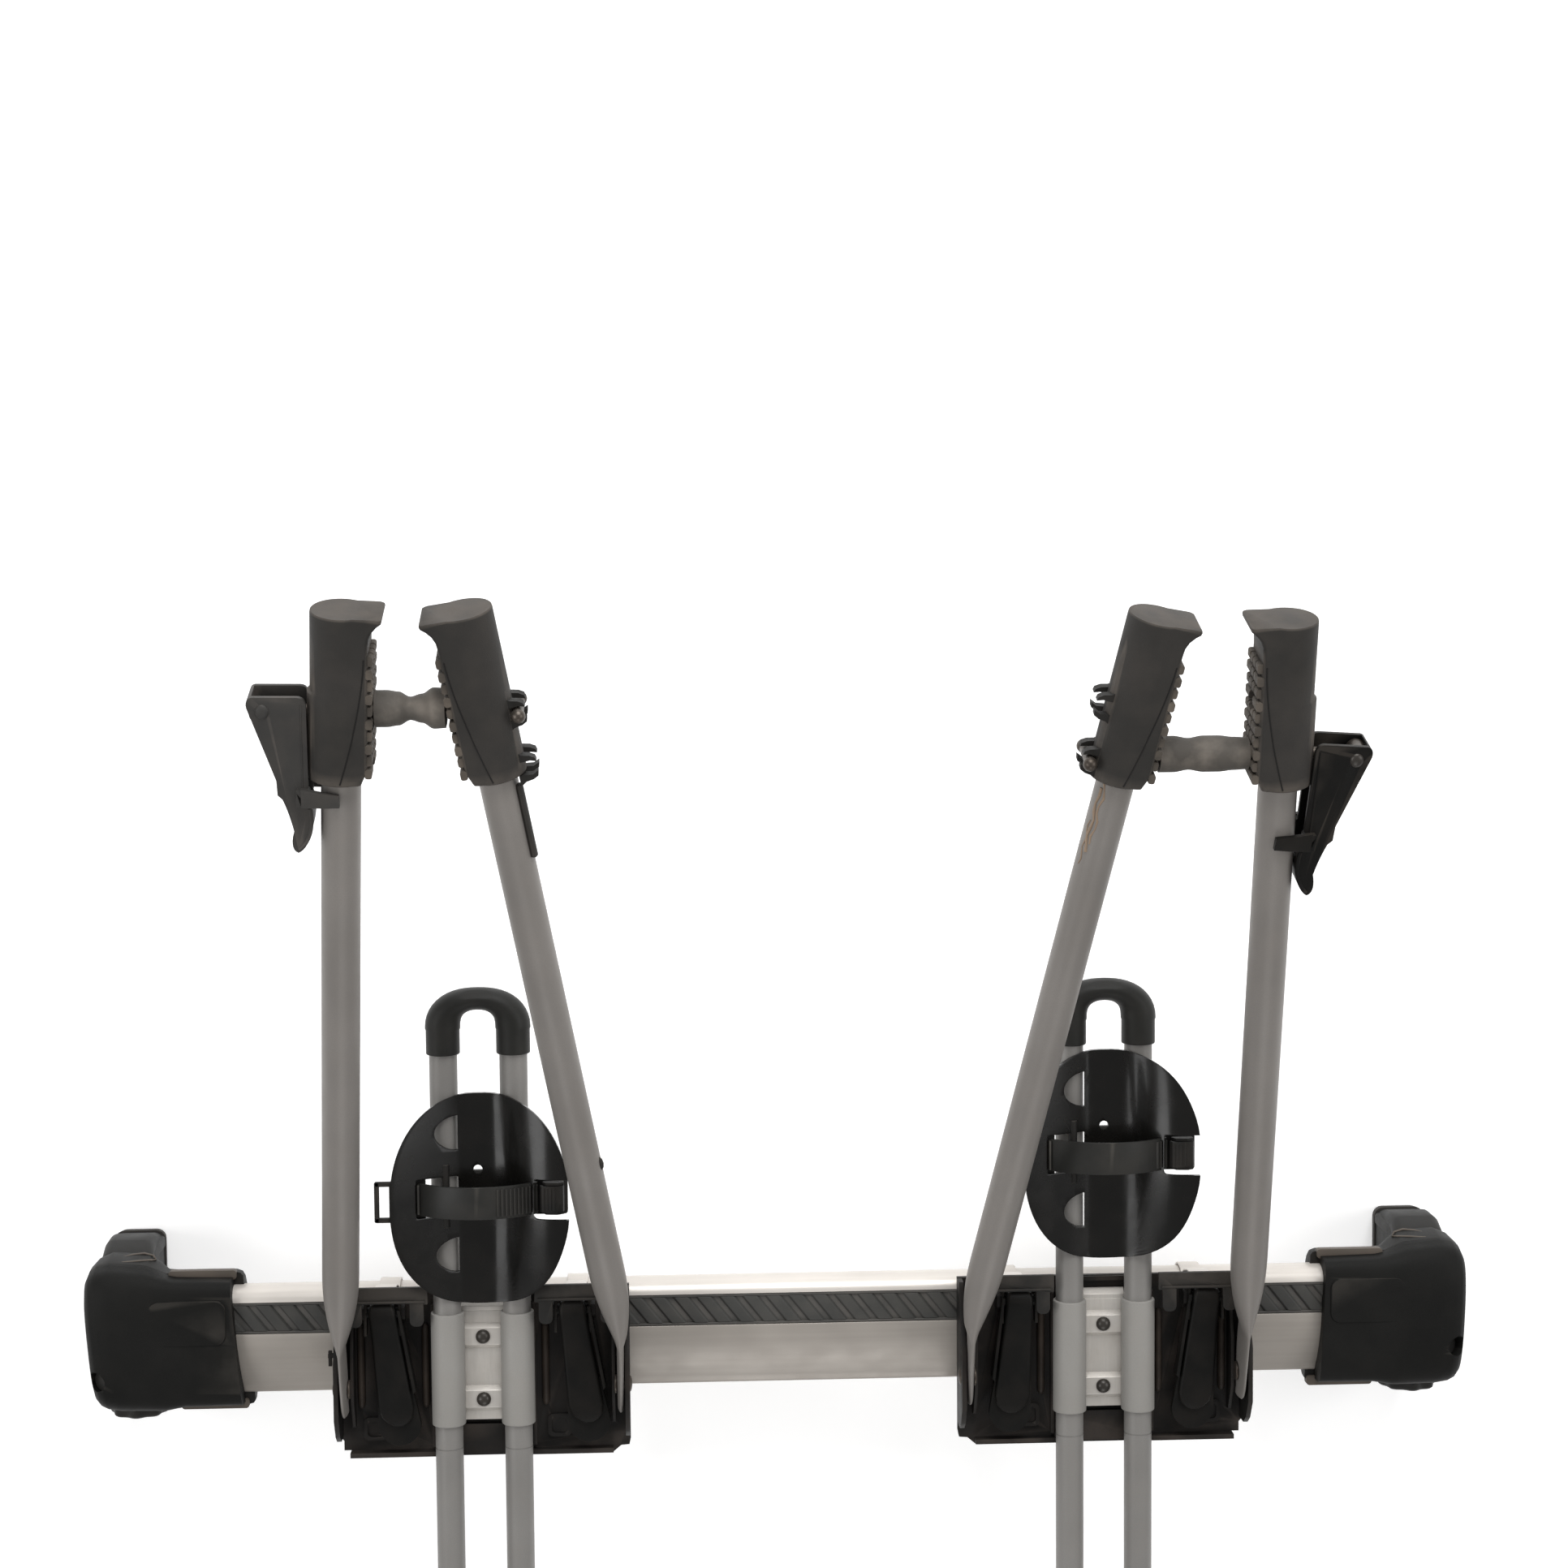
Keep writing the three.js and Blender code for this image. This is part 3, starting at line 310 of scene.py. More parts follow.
# Lighter copy of the bar's anodising for the nose and top band: its brightness is a painted highlight.
ANODISED_LIT = Finish(
    "anodised_aluminium", "anodised", (216, 210, 203), (204, 198, 191), (0.3, 0.4), 0.3, 260.0, (0.03, 1.0, 1.0),
    0.06,
)
# Darker copy of the bar's anodising for the rear slope: its colour is painted shade, with a little dust on top.
ANODISED_SHADED = Finish(
    "brushed_aluminium", "anodised", (162, 156, 149), (150, 144, 137), (0.36, 0.48), 0.35, 260.0, (0.03, 1.0, 1.0), 0.08,
    dust=(140, 128, 116), dust_amount=0.06,
)
ARM_PAINT = Finish(
    "grey_powder_coat", "tube", (125, 121, 117), (117, 113, 109), (0.42, 0.52), 0.15, 1500.0, bump=0.08,
    dust=(140, 130, 120), dust_amount=0.08, wear=(176, 172, 166), wear_amount=0.2, specular=0.35,
)
RAIL_PAINT = Finish(
    "rail_powder_coat", "tube", (127, 125, 122), (119, 117, 114), (0.42, 0.52), 0.15, 1500.0, bump=0.08,
    dust=(140, 130, 120), dust_amount=0.06, specular=0.35,
)
SLEEVE_PAINT = Finish(
    "sleeve_powder_coat", "tube", (142, 140, 136), (134, 132, 128), (0.5, 0.62), 0.1, 1700.0, bump=0.14,
    dust=(140, 130, 118), dust_amount=0.08, specular=0.3,
)
WEB_METAL = Finish(
    "brushed_web_plate", "tube", (204, 200, 194), (184, 180, 174), (0.34, 0.5), 0.45, 700.0, (1.0, 0.1, 1.0), 0.1,
    dust=(140, 128, 114), dust_amount=0.2,
)
CHARCOAL = Finish(
    "charcoal_moulding", "plastic", (30, 30, 29), (24, 24, 23), (0.48, 0.6), grain=2200.0, bump=0.22,
    dust=(82, 73, 64), dust_amount=0.14, wear=(84, 78, 72), wear_amount=0.3, specular=0.22,
)
COVER_PLASTIC = Finish(
    "cover_moulding", "plastic", (23, 23, 22), (17, 17, 16), (0.5, 0.6), grain=2400.0, bump=0.24,
    dust=(60, 57, 53), dust_amount=0.05, wear=(80, 76, 71), wear_amount=0.25, specular=0.1,
)
COVER_INLAY = Finish(
    "cover_inlay", "plastic", (86, 79, 72), (72, 66, 60), (0.5, 0.6), grain=1800.0, bump=0.12,
    dust=(110, 98, 86), dust_amount=0.15, specular=0.3,
)
JAW_RUBBER = Finish(
    "jaw_rubber", "rubber", (50, 48, 46), (40, 39, 37), (0.6, 0.72), grain=1500.0, bump=0.16,
    dust=(92, 85, 78), dust_amount=0.12, wear=(106, 98, 90), wear_amount=0.35, specular=0.18,
)
TOOTH_RUBBER = Finish(
    "tooth_rubber", "rubber", (60, 56, 52), (46, 44, 41), (0.7, 0.82), grain=1300.0, bump=0.2,
    dust=(110, 100, 90), dust_amount=0.22, wear=(122, 112, 101), wear_amount=0.35, specular=0.2,
)
CLAW_RUBBER = Finish(
    "claw_moulding", "rubber", (34, 33, 31), (27, 26, 25), (0.55, 0.68), grain=1500.0, bump=0.14,
    dust=(80, 74, 68), dust_amount=0.1, specular=0.2,
)
SEAM_RUBBER = Finish(
    "seam_rubber", "rubber", (28, 27, 26), (24, 23, 22), (0.6, 0.7), grain=1500.0, bump=0.1, specular=0.2,
)
SLEEVE_RUBBER = Finish(
    "dusty_sleeve_rubber", "rubber", (84, 80, 75), (58, 55, 51), (0.6, 0.74), grain=1200.0, bump=0.18,
    dust=(150, 141, 131), dust_amount=0.45, wear=(150, 140, 130), wear_amount=0.2, specular=0.25,
)
TREAD_RUBBER = Finish(
    "tread_rubber", "rubber", (62, 62, 60), (50, 50, 49), (0.5, 0.66), grain=1200.0, bump=0.16,
    dust=(96, 92, 86), dust_amount=0.2, wear=(96, 92, 88), wear_amount=0.4, specular=0.25,
)
TRAY_GLOSS = Finish(
    "polished_black_moulding", "gloss", (12, 12, 11), (17, 16, 14), (0.2, 0.32), grain=500.0, bump=0.03,
    dust=(62, 53, 45), dust_amount=0.04, coat=0.12, specular=0.25,
)
STRAP_PLASTIC = Finish(
    "strap_moulding", "rubber", (38, 38, 36), (30, 30, 29), (0.42, 0.54), grain=1500.0, bump=0.08,
    dust=(86, 80, 73), dust_amount=0.1, wear=(90, 86, 80), wear_amount=0.4, specular=0.25,
)
HOUSING_PLASTIC = Finish(
    "housing_moulding", "plastic", (24, 23, 22), (19, 18, 17), (0.46, 0.6), grain=2000.0, bump=0.2,
    dust=(76, 63, 53), dust_amount=0.12, wear=(80, 72, 66), wear_amount=0.3, specular=0.2,
)
RIB_PLASTIC = Finish(
    "rubbed_rib_moulding", "plastic", (46, 40, 36), (34, 30, 27), (0.44, 0.58), grain=1900.0, bump=0.2,
    dust=(92, 79, 68), dust_amount=0.25, wear=(100, 92, 84), wear_amount=0.3, specular=0.2,
)
LEVER_PLASTIC = Finish(
    "lever_moulding", "plastic", (16, 16, 15), (13, 13, 12), (0.42, 0.54), grain=2200.0, bump=0.2,
    dust=(72, 62, 54), dust_amount=0.06, wear=(78, 72, 66), wear_amount=0.3, specular=0.12,
)
LEVER_LIGHT = Finish(
    "faded_lever_moulding", "plastic", (55, 54, 52), (46, 45, 44), (0.52, 0.62), grain=2200.0, bump=0.16,
    dust=(104, 93, 84), dust_amount=0.12, wear=(106, 99, 93), wear_amount=0.3, specular=0.25,
)
BOW_PLASTIC = Finish(
    "bow_moulding", "plastic", (33, 33, 31), (26, 26, 25), (0.44, 0.54), grain=2200.0, bump=0.14,
    dust=(82, 77, 71), dust_amount=0.08, wear=(84, 82, 78), wear_amount=0.3, specular=0.2,
)
BOLT_STEEL = Finish(
    "dull_zinc_steel", "steel", (82, 76, 70), (60, 54, 49), (0.3, 0.5), 0.7, 600.0, bump=0.1,
    dust=(96, 74, 56), dust_amount=0.15,
)
DARK_RIVET = Finish(
    "dark_rivet_steel", "steel", (58, 54, 50), (46, 43, 40), (0.26, 0.4), 0.25, 700.0, bump=0.06, specular=0.35,
)
BRIGHT_PLATE = Finish(
    "bright_spring_plate", "steel", (176, 172, 166), (150, 145, 138), (0.35, 0.5), 0.5, 700.0, (0.1, 1.0, 1.0), 0.08,
    dust=(128, 112, 96), dust_amount=0.2,
)
GLUE_MARK = Finish(
    "old_adhesive", "rubber", (142, 122, 102), (116, 99, 82), (0.6, 0.8), grain=800.0, bump=0.4,
)


# --------------------------------------------------------------------------- outlines


def arc(x: float, y: float, rx: float, ry: float, start: float, stop: float, count: int) -> Outline:
    """Points of an ellipse's arc.

    Args:
        x: Centre along the first axis.
        y: Centre along the second axis.
        rx: Radius along the first axis.
        ry: Radius along the second axis.
        start: First angle, in degrees.
        stop: Last angle, in degrees.
        count: How many steps.

    Returns:
        The arc's points, both ends included.
    """
    turns = [math.radians(start + (stop - start) * i / count) for i in range(count + 1)]
    return [(x + rx * math.cos(t), y + ry * math.sin(t)) for t in turns]


def curve(points: Sequence[Pair], count: int = 8) -> Outline:
    """Points of a Bezier curve of any degree.

    Args:
        points: The curve's control points.
        count: How many steps.

    Returns:
        The curve's points, both ends included.
    """
    result = []
    for i in range(count + 1):
        t = i / count
        level = list(points)
        while len(level) > 1:
            level = [((1 - t) * a[0] + t * b[0], (1 - t) * a[1] + t * b[1]) for a, b in zip(level, level[1:])]
        result.append(level[0])
    return result


def rounded(width: float, height: float, radius: float, x: float = 0.0, y: float = 0.0, count: int = 5) -> Outline:
    """A rounded rectangle's outline.

    Args:
        width: Size along the first axis.
        height: Size along the second axis.
        radius: Radius of the corners.
        x: Centre along the first axis.
        y: Centre along the second axis.
        count: How many steps each corner has.

    Returns:
        The outline's points.
    """
    a, b = width / 2 - radius, height / 2 - radius
    corners = ((a, b, 0), (-a, b, 90), (-a, -b, 180), (a, -b, 270))
    return [p for cx, cy, start in corners for p in arc(x + cx, y + cy, radius, radius, start, start + 90, count)]


# --------------------------------------------------------------------------- mesh building


@dataclass
class Blank:
    """A mesh under construction, in millimetres. Several closed shells may make up one piece."""

    points: list[Vector] = field(default_factory=list)
    faces: list[tuple[int, ...]] = field(default_factory=list)
    marks: list[int] = field(default_factory=list)
    mark: int = 0

    def loft(self, rings: Sequence[Sequence[Vector]], capped: bool = True) -> "Blank":
        """Adds a skin over rings of equal length, with flat ends.

        Args:
            rings: Rings of points that go round the same way.
            capped: Whether the first and last rings are closed with a face.

        Returns:
            This blank.
        """
        start, count = len(self.points), len(rings[0])
        self.points.extend(p.copy() for ring in rings for p in ring)
        made: list[tuple[int, ...]] = []
        for k in range(len(rings) - 1):
            for i in range(count):
                a, b = start + k * count + i, start + k * count + (i + 1) % count
                made.append((a, b, b + count, a + count))
        if capped:
            last = start + (len(rings) - 1) * count
            made.append(tuple(range(start + count - 1, start - 1, -1)))
            made.append(tuple(range(last, last + count)))
        self.faces.extend(made)
        self.marks.extend([self.mark] * len(made))
        return self

    def prism(self, outline: Outline, axis: Axis, low: float, high: float) -> "Blank":
        """Adds an outline extruded along an axis from low to high."""
        return self.loft([[axis.lift(p, t) for p in outline] for t in (low, high)])

    def block(self, size: Sequence[float], centre: Sequence[float], radius: float = 0.0) -> "Blank":
        """Adds a block, with corners rounded in plan when a radius is given.

        Args:
            size: Width, depth and height.
            centre: The block's middle.
            radius: Radius of the corners in plan.

        Returns:
            This blank.
        """
        width, depth, height = size
        x, y, z = centre
        plan = rounded(width, depth, radius, x, y) if radius else [
            (x - width / 2, y - depth / 2), (x + width / 2, y - depth / 2),
            (x + width / 2, y + depth / 2), (x - width / 2, y + depth / 2),
        ]
        return self.prism(plan, Axis.Z, z - height / 2, z + height / 2)

    def turned(self, profile: Iterable[Pair], axis: Axis, centre: Sequence[float], sides: int = 32) -> "Blank":
        """Adds a turned shape.

        Args:
            profile: Pairs of a place along the axis and a radius.
            axis: The axis it turns about.
            centre: The point that the places are measured from.
            sides: How many sides round.

        Returns:
            This blank.
        """
        middle = Vector(centre)
        rings = []
        for along, r in profile:
            rings.append([middle + axis.lift(p, along) for p in arc(0, 0, r, r, 0, 360, sides)[:-1]])
        return self.loft(rings)

    def rod(self, axis: Axis, radius: float, length: float, centre: Sequence[float], sides: int = 32) -> "Blank":
        """Adds a round rod with softened ends.

        Args:
            axis: The axis it runs along.
            radius: Its radius.
            length: Its length.
            centre: Its middle.
            sides: How many sides round.

        Returns:
            This blank.
        """
        half, soft = length / 2, min(0.6, radius * 0.3)
        profile = [(-half, radius - soft), (-half + soft, radius), (half - soft, radius), (half, radius - soft)]
        return self.turned(profile, axis, centre, sides)

    def dome(self, axis: Axis, radius: float, height: float, centre: Sequence[float], sides: int = 24) -> "Blank":
        """Adds a domed head.

        Args:
            axis: The axis it rises along.
            radius: Its radius.
            height: Its height, negative for a head that faces the other way.
            centre: The point it stands on.
            sides: How many sides round.

        Returns:
            This blank.
        """
        steps = [i / 6 for i in range(7)]
        turns = [t * math.pi / 2 for t in steps]
        profile = [(height * math.sin(t), max(radius * math.cos(t), 0.05)) for t in turns]
        return self.turned(profile, axis, centre, sides)

    def sweep(
        self, path: Sequence[Vector], radius: float | Sequence[float], sides: int = 12, squash: float = 1.0
    ) -> "Blank":
        """Adds a round bar along a path, its ends closed.

        Args:
            path: The points that the bar's middle follows.
            radius: One radius, or one for each point.
            sides: How many sides round.
            squash: Height of the section as a share of its width.

        Returns:
            This blank.
        """
        radii = [radius] * len(path) if isinstance(radius, (int, float)) else list(radius)
        rings, up = [], Vector((0, 0, 1))
        for i, point in enumerate(path):
            ahead = (path[min(i + 1, len(path) - 1)] - path[max(i - 1, 0)]).normalized()
            side = ahead.cross(up)
            side = side.normalized() if side.length > 1e-3 else Vector((1, 0, 0))
            over = side.cross(ahead).normalized()
            rings.append([
                point + side * (math.cos(t) * radii[i]) + over * (math.sin(t) * radii[i] * squash)
                for t in (2 * math.pi * k / sides for k in range(sides))
            ])
        return self.loft(rings)

    def _raw(self, name: str, place: Matrix) -> bpy.types.Object:
        """Makes the blank an unfinished object in the part's frame, in metres.

        Args:
            name: The object's name.
            place: From the blank's own frame to the part's frame, in millimetres.

        Returns:
            The object.
        """
        mesh = bpy.data.meshes.new(name)
        mesh.from_pydata([place @ p * MM for p in self.points], [], self.faces)
        mesh.polygons.foreach_set("material_index", self.marks)
        work = bmesh.new()
        work.from_mesh(mesh)
        bmesh.ops.remove_doubles(work, verts=work.verts, dist=1e-6)
        bmesh.ops.recalc_face_normals(work, faces=work.faces)
        work.to_mesh(mesh)
        work.free()
        made = bpy.data.objects.new(name, mesh)
        bpy.context.scene.collection.objects.link(made)
        return made

    def make(
        self,
        name: str,
        place: Matrix,
        finishes: Sequence[Finish],
        body: str,
        nodes: Sequence[str] = (),
        bevel: float = 0.6,
        segments: int = 3,
        angle: float = 35.0,
        cutters: Sequence["Blank"] = (),
    ) -> bpy.types.Object:
        """Finishes the blank: cuts, bevels, shades, dresses it and hangs it on its body.

        Args:
            name: The piece's name.
            place: From the blank's own frame to the part's frame, in millimetres.
            finishes: Finishes in the order of the blank's marks.
            body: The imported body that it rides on.
            nodes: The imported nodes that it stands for.
            bevel: Width of the rounded edges, in millimetres.
            segments: How many facets each rounded edge has.
            angle: Edges sharper than this, in degrees, are rounded.
            cutters: Shapes cut out of it.

        Returns:
            The finished object.
        """
        made = self._raw(name, place)
        for finish in finishes:
            made.data.materials.append(finish.material())
        tools = [cutter._raw(f"{name}_cutter", place) for cutter in cutters]
        for tool in tools:
            cut = made.modifiers.new("cut", "BOOLEAN")
            cut.object, cut.operation, cut.solver = tool, "DIFFERENCE", "EXACT"
            cut.use_self = True
        if bevel:
            edge = made.modifiers.new("edge", "BEVEL")
            edge.width, edge.segments = bevel * MM, segments
            edge.limit_method, edge.angle_limit = "ANGLE", math.radians(angle)
            edge.miter_outer = "MITER_ARC"
        graph = bpy.context.evaluated_depsgraph_get()
        graph.update()
        final = bpy.data.meshes.new_from_object(made.evaluated_get(graph), depsgraph=graph)
        made.modifiers.clear()
        made.data = final
        for tool in tools:
            bpy.data.objects.remove(tool, do_unlink=True)
        final.shade_smooth()
        final.set_sharp_from_angle(angle=math.radians(angle))
        final.update()
        if nodes:
            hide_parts(*nodes)
        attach(made, body)
        LOG.info("%s: %d faces on %s", name, len(final.polygons), body)
        return made


def middle_of(node: str) -> Vector:
    """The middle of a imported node's box, in millimetres."""
    low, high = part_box(node)
    return (low + high) * 0.5 / MM


def joint_place(joints: dict[str, dict], name: str) -> Vector:
    """A hinge's place in the part's frame, in millimetres."""
    return Vector(joints[name]["pos_m"]) / MM


def shift(x: float, y: float, z: float) -> Matrix:
    """A translation in millimetres."""
    return Matrix.Translation((x, y, z))


def mirror(sign: float) -> Matrix:
    """Mirrors X when the sign is negative."""
    return Matrix.Diagonal((sign, 1, 1, 1))


@dataclass(frozen=True)
class Places:
    """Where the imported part's groups stand. All frames are in millimetres."""

    joints: dict[str, dict]
    fold_rest: float = 20.0

    def carrier(self, side: Side) -> Matrix:
        """A carrier's own frame: its middle, the front bar's middle and the roof."""
        return shift(middle_of(f"rail_bracket_{side.word}").x, middle_of("crossbar_front").y, 0)

    def handed(self, side: Side) -> Matrix:
        """The carrier's frame with +X towards the middle of the car."""
        return self.carrier(side) @ mirror(-side.value)

    def holder(self, side: Side) -> Matrix:
        """The folded frame holder's frame: pivot at the origin, +Y along the arms."""
        pivot = joint_place(self.joints, f"fold_{side.word}")
        return shift(*pivot) @ mirror(-side.value) @ Matrix.Rotation(math.radians(self.fold_rest), 4, "X")

    def bar_end(self, end: End, side: Side) -> Matrix:
        """A bar end's frame, drawn for the left and mirrored for the right."""
        return shift(0, middle_of(f"crossbar_{end.value}").y, 0) @ mirror(-side.value)


# --------------------------------------------------------------------------- crossbars


@dataclass
class Crossbar:
    """An aerofoil bar with a T-shaped track along its top."""

    end: End
    nose: float = 10.0
    tail: float = 3.5
    track: float = 18.0
    track_half: float = 11.5
    track_depth: float = 7.0

    def section(self, top: float) -> Outline:
        """The bar's section in (Y, Z) about its middle line.

        Args:
            top: Height of the bar's upper face.

        Returns:
            The section's outline.
        """
        tail_y, tail_z, low = -36.5, top - 15.5, top - 30
        front, rear = self.track + self.track_half, self.track - self.track_half
        step, neck, cavity = top - self.track_depth, 6.0, 11.0
        slot = [
            (front, top), (front, step), (self.track + neck, step), (self.track + neck, step - 3),
            (self.track + cavity, step - 3), (self.track + cavity, step - 10), (self.track - cavity, step - 10),
            (self.track - cavity, step - 3), (self.track - neck, step - 3), (self.track - neck, step),
            (rear, step), (rear, top),
        ]
        over = curve([(rear - 2, top), (-16, top), (tail_y, tail_z + self.tail)], 14)
        under = curve([(tail_y, tail_z - self.tail), (-12, low), (30, low)], 14)
        end = arc(tail_y, tail_z, self.tail, self.tail, 90, 270, 8)[1:-1]
        return arc(30, top - 15, self.nose, 15, -90, 90, 16)[1:] + slot + over + end + under

    def build(self) -> None:
        """Builds the bar on the rack body."""
        node = f"crossbar_{self.end.value}"
        low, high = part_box(node)
        section = self.section(high.z / MM)
        blank = Blank().prism(section, Axis.X, low.x / MM, high.x / MM)
        front = self.track + self.track_half - 1
        # Faces ahead of the track's front edge take the lighter anodised copy (painted highlight); the rest of the
        # section takes the darker copy (painted shade).
        blank.marks[:len(section)] = [0 if y > front else 1 for y, _ in section]
        place = shift(0, middle_of(node).y, 0)
        blank.make(f"bar_{self.end.value}", place, [ANODISED_LIT, ANODISED_SHADED], "rack", [node], bevel=0.35, angle=50)


@dataclass
class TrackStrip:
    """The rubber infill of the track: slanted ribs between two plain borders."""

    end: End
    pitch: float = 16.8
    rib: Pair = (12.4, 8.8)
    slant: float = 15.0
    reach: Pair = (8.6, 27.4)
    border: float = 1.7
    groove: float = 1.9

    def build(self) -> None:
        """Builds the strip on the rack body."""
        node = f"track_strip_{self.end.value}"
        low, high = (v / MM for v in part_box(node))
        top, middle = high.z, middle_of(f"crossbar_{self.end.value}").y
        rear, front = low.y - middle, high.y - middle
        floor = top - self.groove
        base = [(rear, low.z), (front, low.z), (front, floor), (rear, floor)]
        blank = Blank().prism(base, Axis.X, low.x, high.x)
        for a, b in ((rear, rear + self.border), (front - self.border, front)):
            blank.prism([(a, low.z + 1), (b, low.z + 1), (b, top - 0.4), (a, top - 0.4)], Axis.X, low.x, high.x)
        x = low.x + self.pitch
        while x < high.x - self.pitch * 1.5:
            rings = []
            for width, z in ((self.rib[0], top - 3), (self.rib[0], top - 1.7), (self.rib[1], top - 0.1)):
                near, far = self.reach[1], self.reach[0]
                rings.append([
                    Vector((x + dx + lean, y, z))
                    for dx, y, lean in (
                        (-width / 2, near, 0), (-width / 2, far, self.slant),
                        (width / 2, far, self.slant), (width / 2, near, 0),
                    )
                ])
            blank.loft(rings)
            x += self.pitch
        place = shift(0, middle, 0)
        blank.make(f"tread_{self.end.value}", place, [TREAD_RUBBER], "rack", [node], bevel=0.5, angle=25)


# --------------------------------------------------------------------------- bar ends


@dataclass
class BarEnd:
    """A moulded cover, the foot below it and the foot's knob, drawn for the left end.

    A station of the cover is X, rear, front, bottom, top and how square the section is. A level of the
    tower is height, width, depth and the middle in Y and X.
    """

    end: End
    side: Side
    seam: float = 96.0
    rake: float = 8.0
    stations: tuple[tuple[float, ...], ...] = (
        (-508.0, -30, 25, 86, 101, 2.5), (-507.2, -37, 36, 79, 108, 2.8), (-505.5, -43, 45, 73, 113, 3.0),
        (-502.0, -47, 51.5, 68, 116.5, 3.3), (-497.0, -49, 54.5, 65, 118.4, 3.6), (-488.0, -50, 55.5, 63, 119, 4.0),
        (-470.0, -50, 54, 63, 119, 4.4), (-461.0, -50, 53, 64.5, 118.8, 4.6), (-454.0, -49.5, 50.5, 67, 118.4, 5.0),
        (-448.0, -48, 48.5, 70, 118.1, 5.4), (-440.0, -46.5, 47, 72, 117.8, 5.8), (-399.5, -46, 46, 72.5, 117.4, 6.0),
    )
    shear: Pair = (104.0, 0.24)
    levels: tuple[tuple[float, ...], ...] = (
        (9, 36, 92, 14, -481), (14, 36, 93, 14, -481), (34, 36, 104, 13, -481.5), (60, 36, 110, 11, -480),
        (76, 38, 106, 6, -479),
    )
    pad: tuple[Triple, ...] = ((0, 36, 92), (10, 38, 94))
    pad_middle: Pair = (-481.0, 14.5)
    line: tuple[Triple, ...] = (
        (-489, 56.3, 91), (-482, 58.4, 85), (-474, 59.7, 80), (-466, 60.0, 77.5), (-459, 58.2, 78.5),
        (-457, 56.0, 82), (-460, 57.0, 86.5), (-468, 57.4, 90), (-478, 57.0, 92), (-489, 56.1, 91.8),
    )
    knob_radius: float = 20.8
    knob_lobe: float = 1.2
    knob_profile: tuple[Pair, ...] = ((-17, 0.78), (-16.4, 0.9), (-15.2, 0.98), (-13.6, 1.0), (-9, 1.0), (-8, 0.96))
    lock_radius: float = 7.5

    def ring(self, station: Sequence[float], low: float, high: float) -> list[Vector]:
        """One section of the shell, clipped between two heights.

        Args:
            station: The section's X, rear, front, bottom, top and squareness.
            low: The lower clip.
            high: The upper clip.

        Returns:
            The section's points.
        """
        x, rear, front, bottom, top, square = station
        y, z = (front + rear) / 2, (bottom + top) / 2
        a, b = (front - rear) / 2, (top - bottom) / 2
        result = []
        for k in range(72):
            c, s = math.cos(math.tau * k / 72), math.sin(math.tau * k / 72)
            py = y + a * math.copysign(abs(c) ** (2 / square), c)
            pz = min(max(z + b * math.copysign(abs(s) ** (2 / square), s), low), high)
            outer_share = min(1.0, max(0.0, (-446 - x) / 14), max(0.0, (x + 508) / 16))
            py += outer_share * max(0.0, c) * self.shear[1] * max(0.0, self.shear[0] - pz)
            result.append(Vector((x + self.rake * (52 - py) / 102, py, pz)))
        return result

    def cover(self) -> Blank:
        """The upper moulding, with a faint raised panel."""
        blank = Blank().loft([self.ring(s, self.seam, 200) for s in self.stations])
        panel = []
        for inset, z in ((0, 116.8), (1.2, 118.4)):
            panel.append([Vector((x, y, z)) for x, y in rounded(56 - inset, 33 - inset, 7, -430, 17)])
        return blank.loft(panel)

    def leaf(self) -> Blank:
        """The thin leaf-shaped line on the front slope."""
        return Blank().sweep([Vector(point) for point in self.line], 0.8, 8)

    def foot(self) -> Blank:
        """The lower shell, the tower that stands on the roof and its rubber pad."""
        shell = [s for s in self.stations if s[0] < -445] + [
            (-440.0, -49, 49.5, 74, 117, 5.0), (-398.0, -49, 49.5, 75, 117, 5.0), (-394.0, -48, 48.5, 76, 116, 4.4),
            (-392.5, -46, 46.5, 78, 114, 4.0),
        ]
        blank = Blank().loft([self.ring(s, 0, self.seam - 0.4) for s in shell])
        blank.loft([[Vector((x + px, y + py, z)) for px, py in rounded(w, d, 7)] for z, w, d, y, x in self.levels])
        blank.block((9, 10, 56), (-466.5, 53, 40), 3)
        blank.mark = 1
        blank.prism(rounded(49, 7, 2.5, -421, 47.6), Axis.Z, 92, 98.4)
        blank.prism(rounded(49, 7, 2.5, -413.5, -47.6), Axis.Z, 92, 98.4)
        blank.mark = 2
        x, y = self.pad_middle
        return blank.loft([[Vector((x + px, y + py, z)) for px, py in rounded(w, d, 7)] for z, w, d in self.pad])

    def knob(self) -> Blank:
        """The fluted knob behind the foot, about its axis."""
        turns = [math.tau * k / 96 for k in range(96)]
        rings = []
        for y, share in self.knob_profile:
            rings.append([
                Vector((r * share * math.cos(t), y, r * share * math.sin(t)))
                for t, r in ((a, self.knob_radius + self.knob_lobe * math.cos(8 * a)) for a in turns)
            ])
        return Blank().loft(rings).rod(Axis.Y, 9.9, 12, (0, -4, 0)).rod(Axis.Y, 12, 3, (0, -16.4, 0))

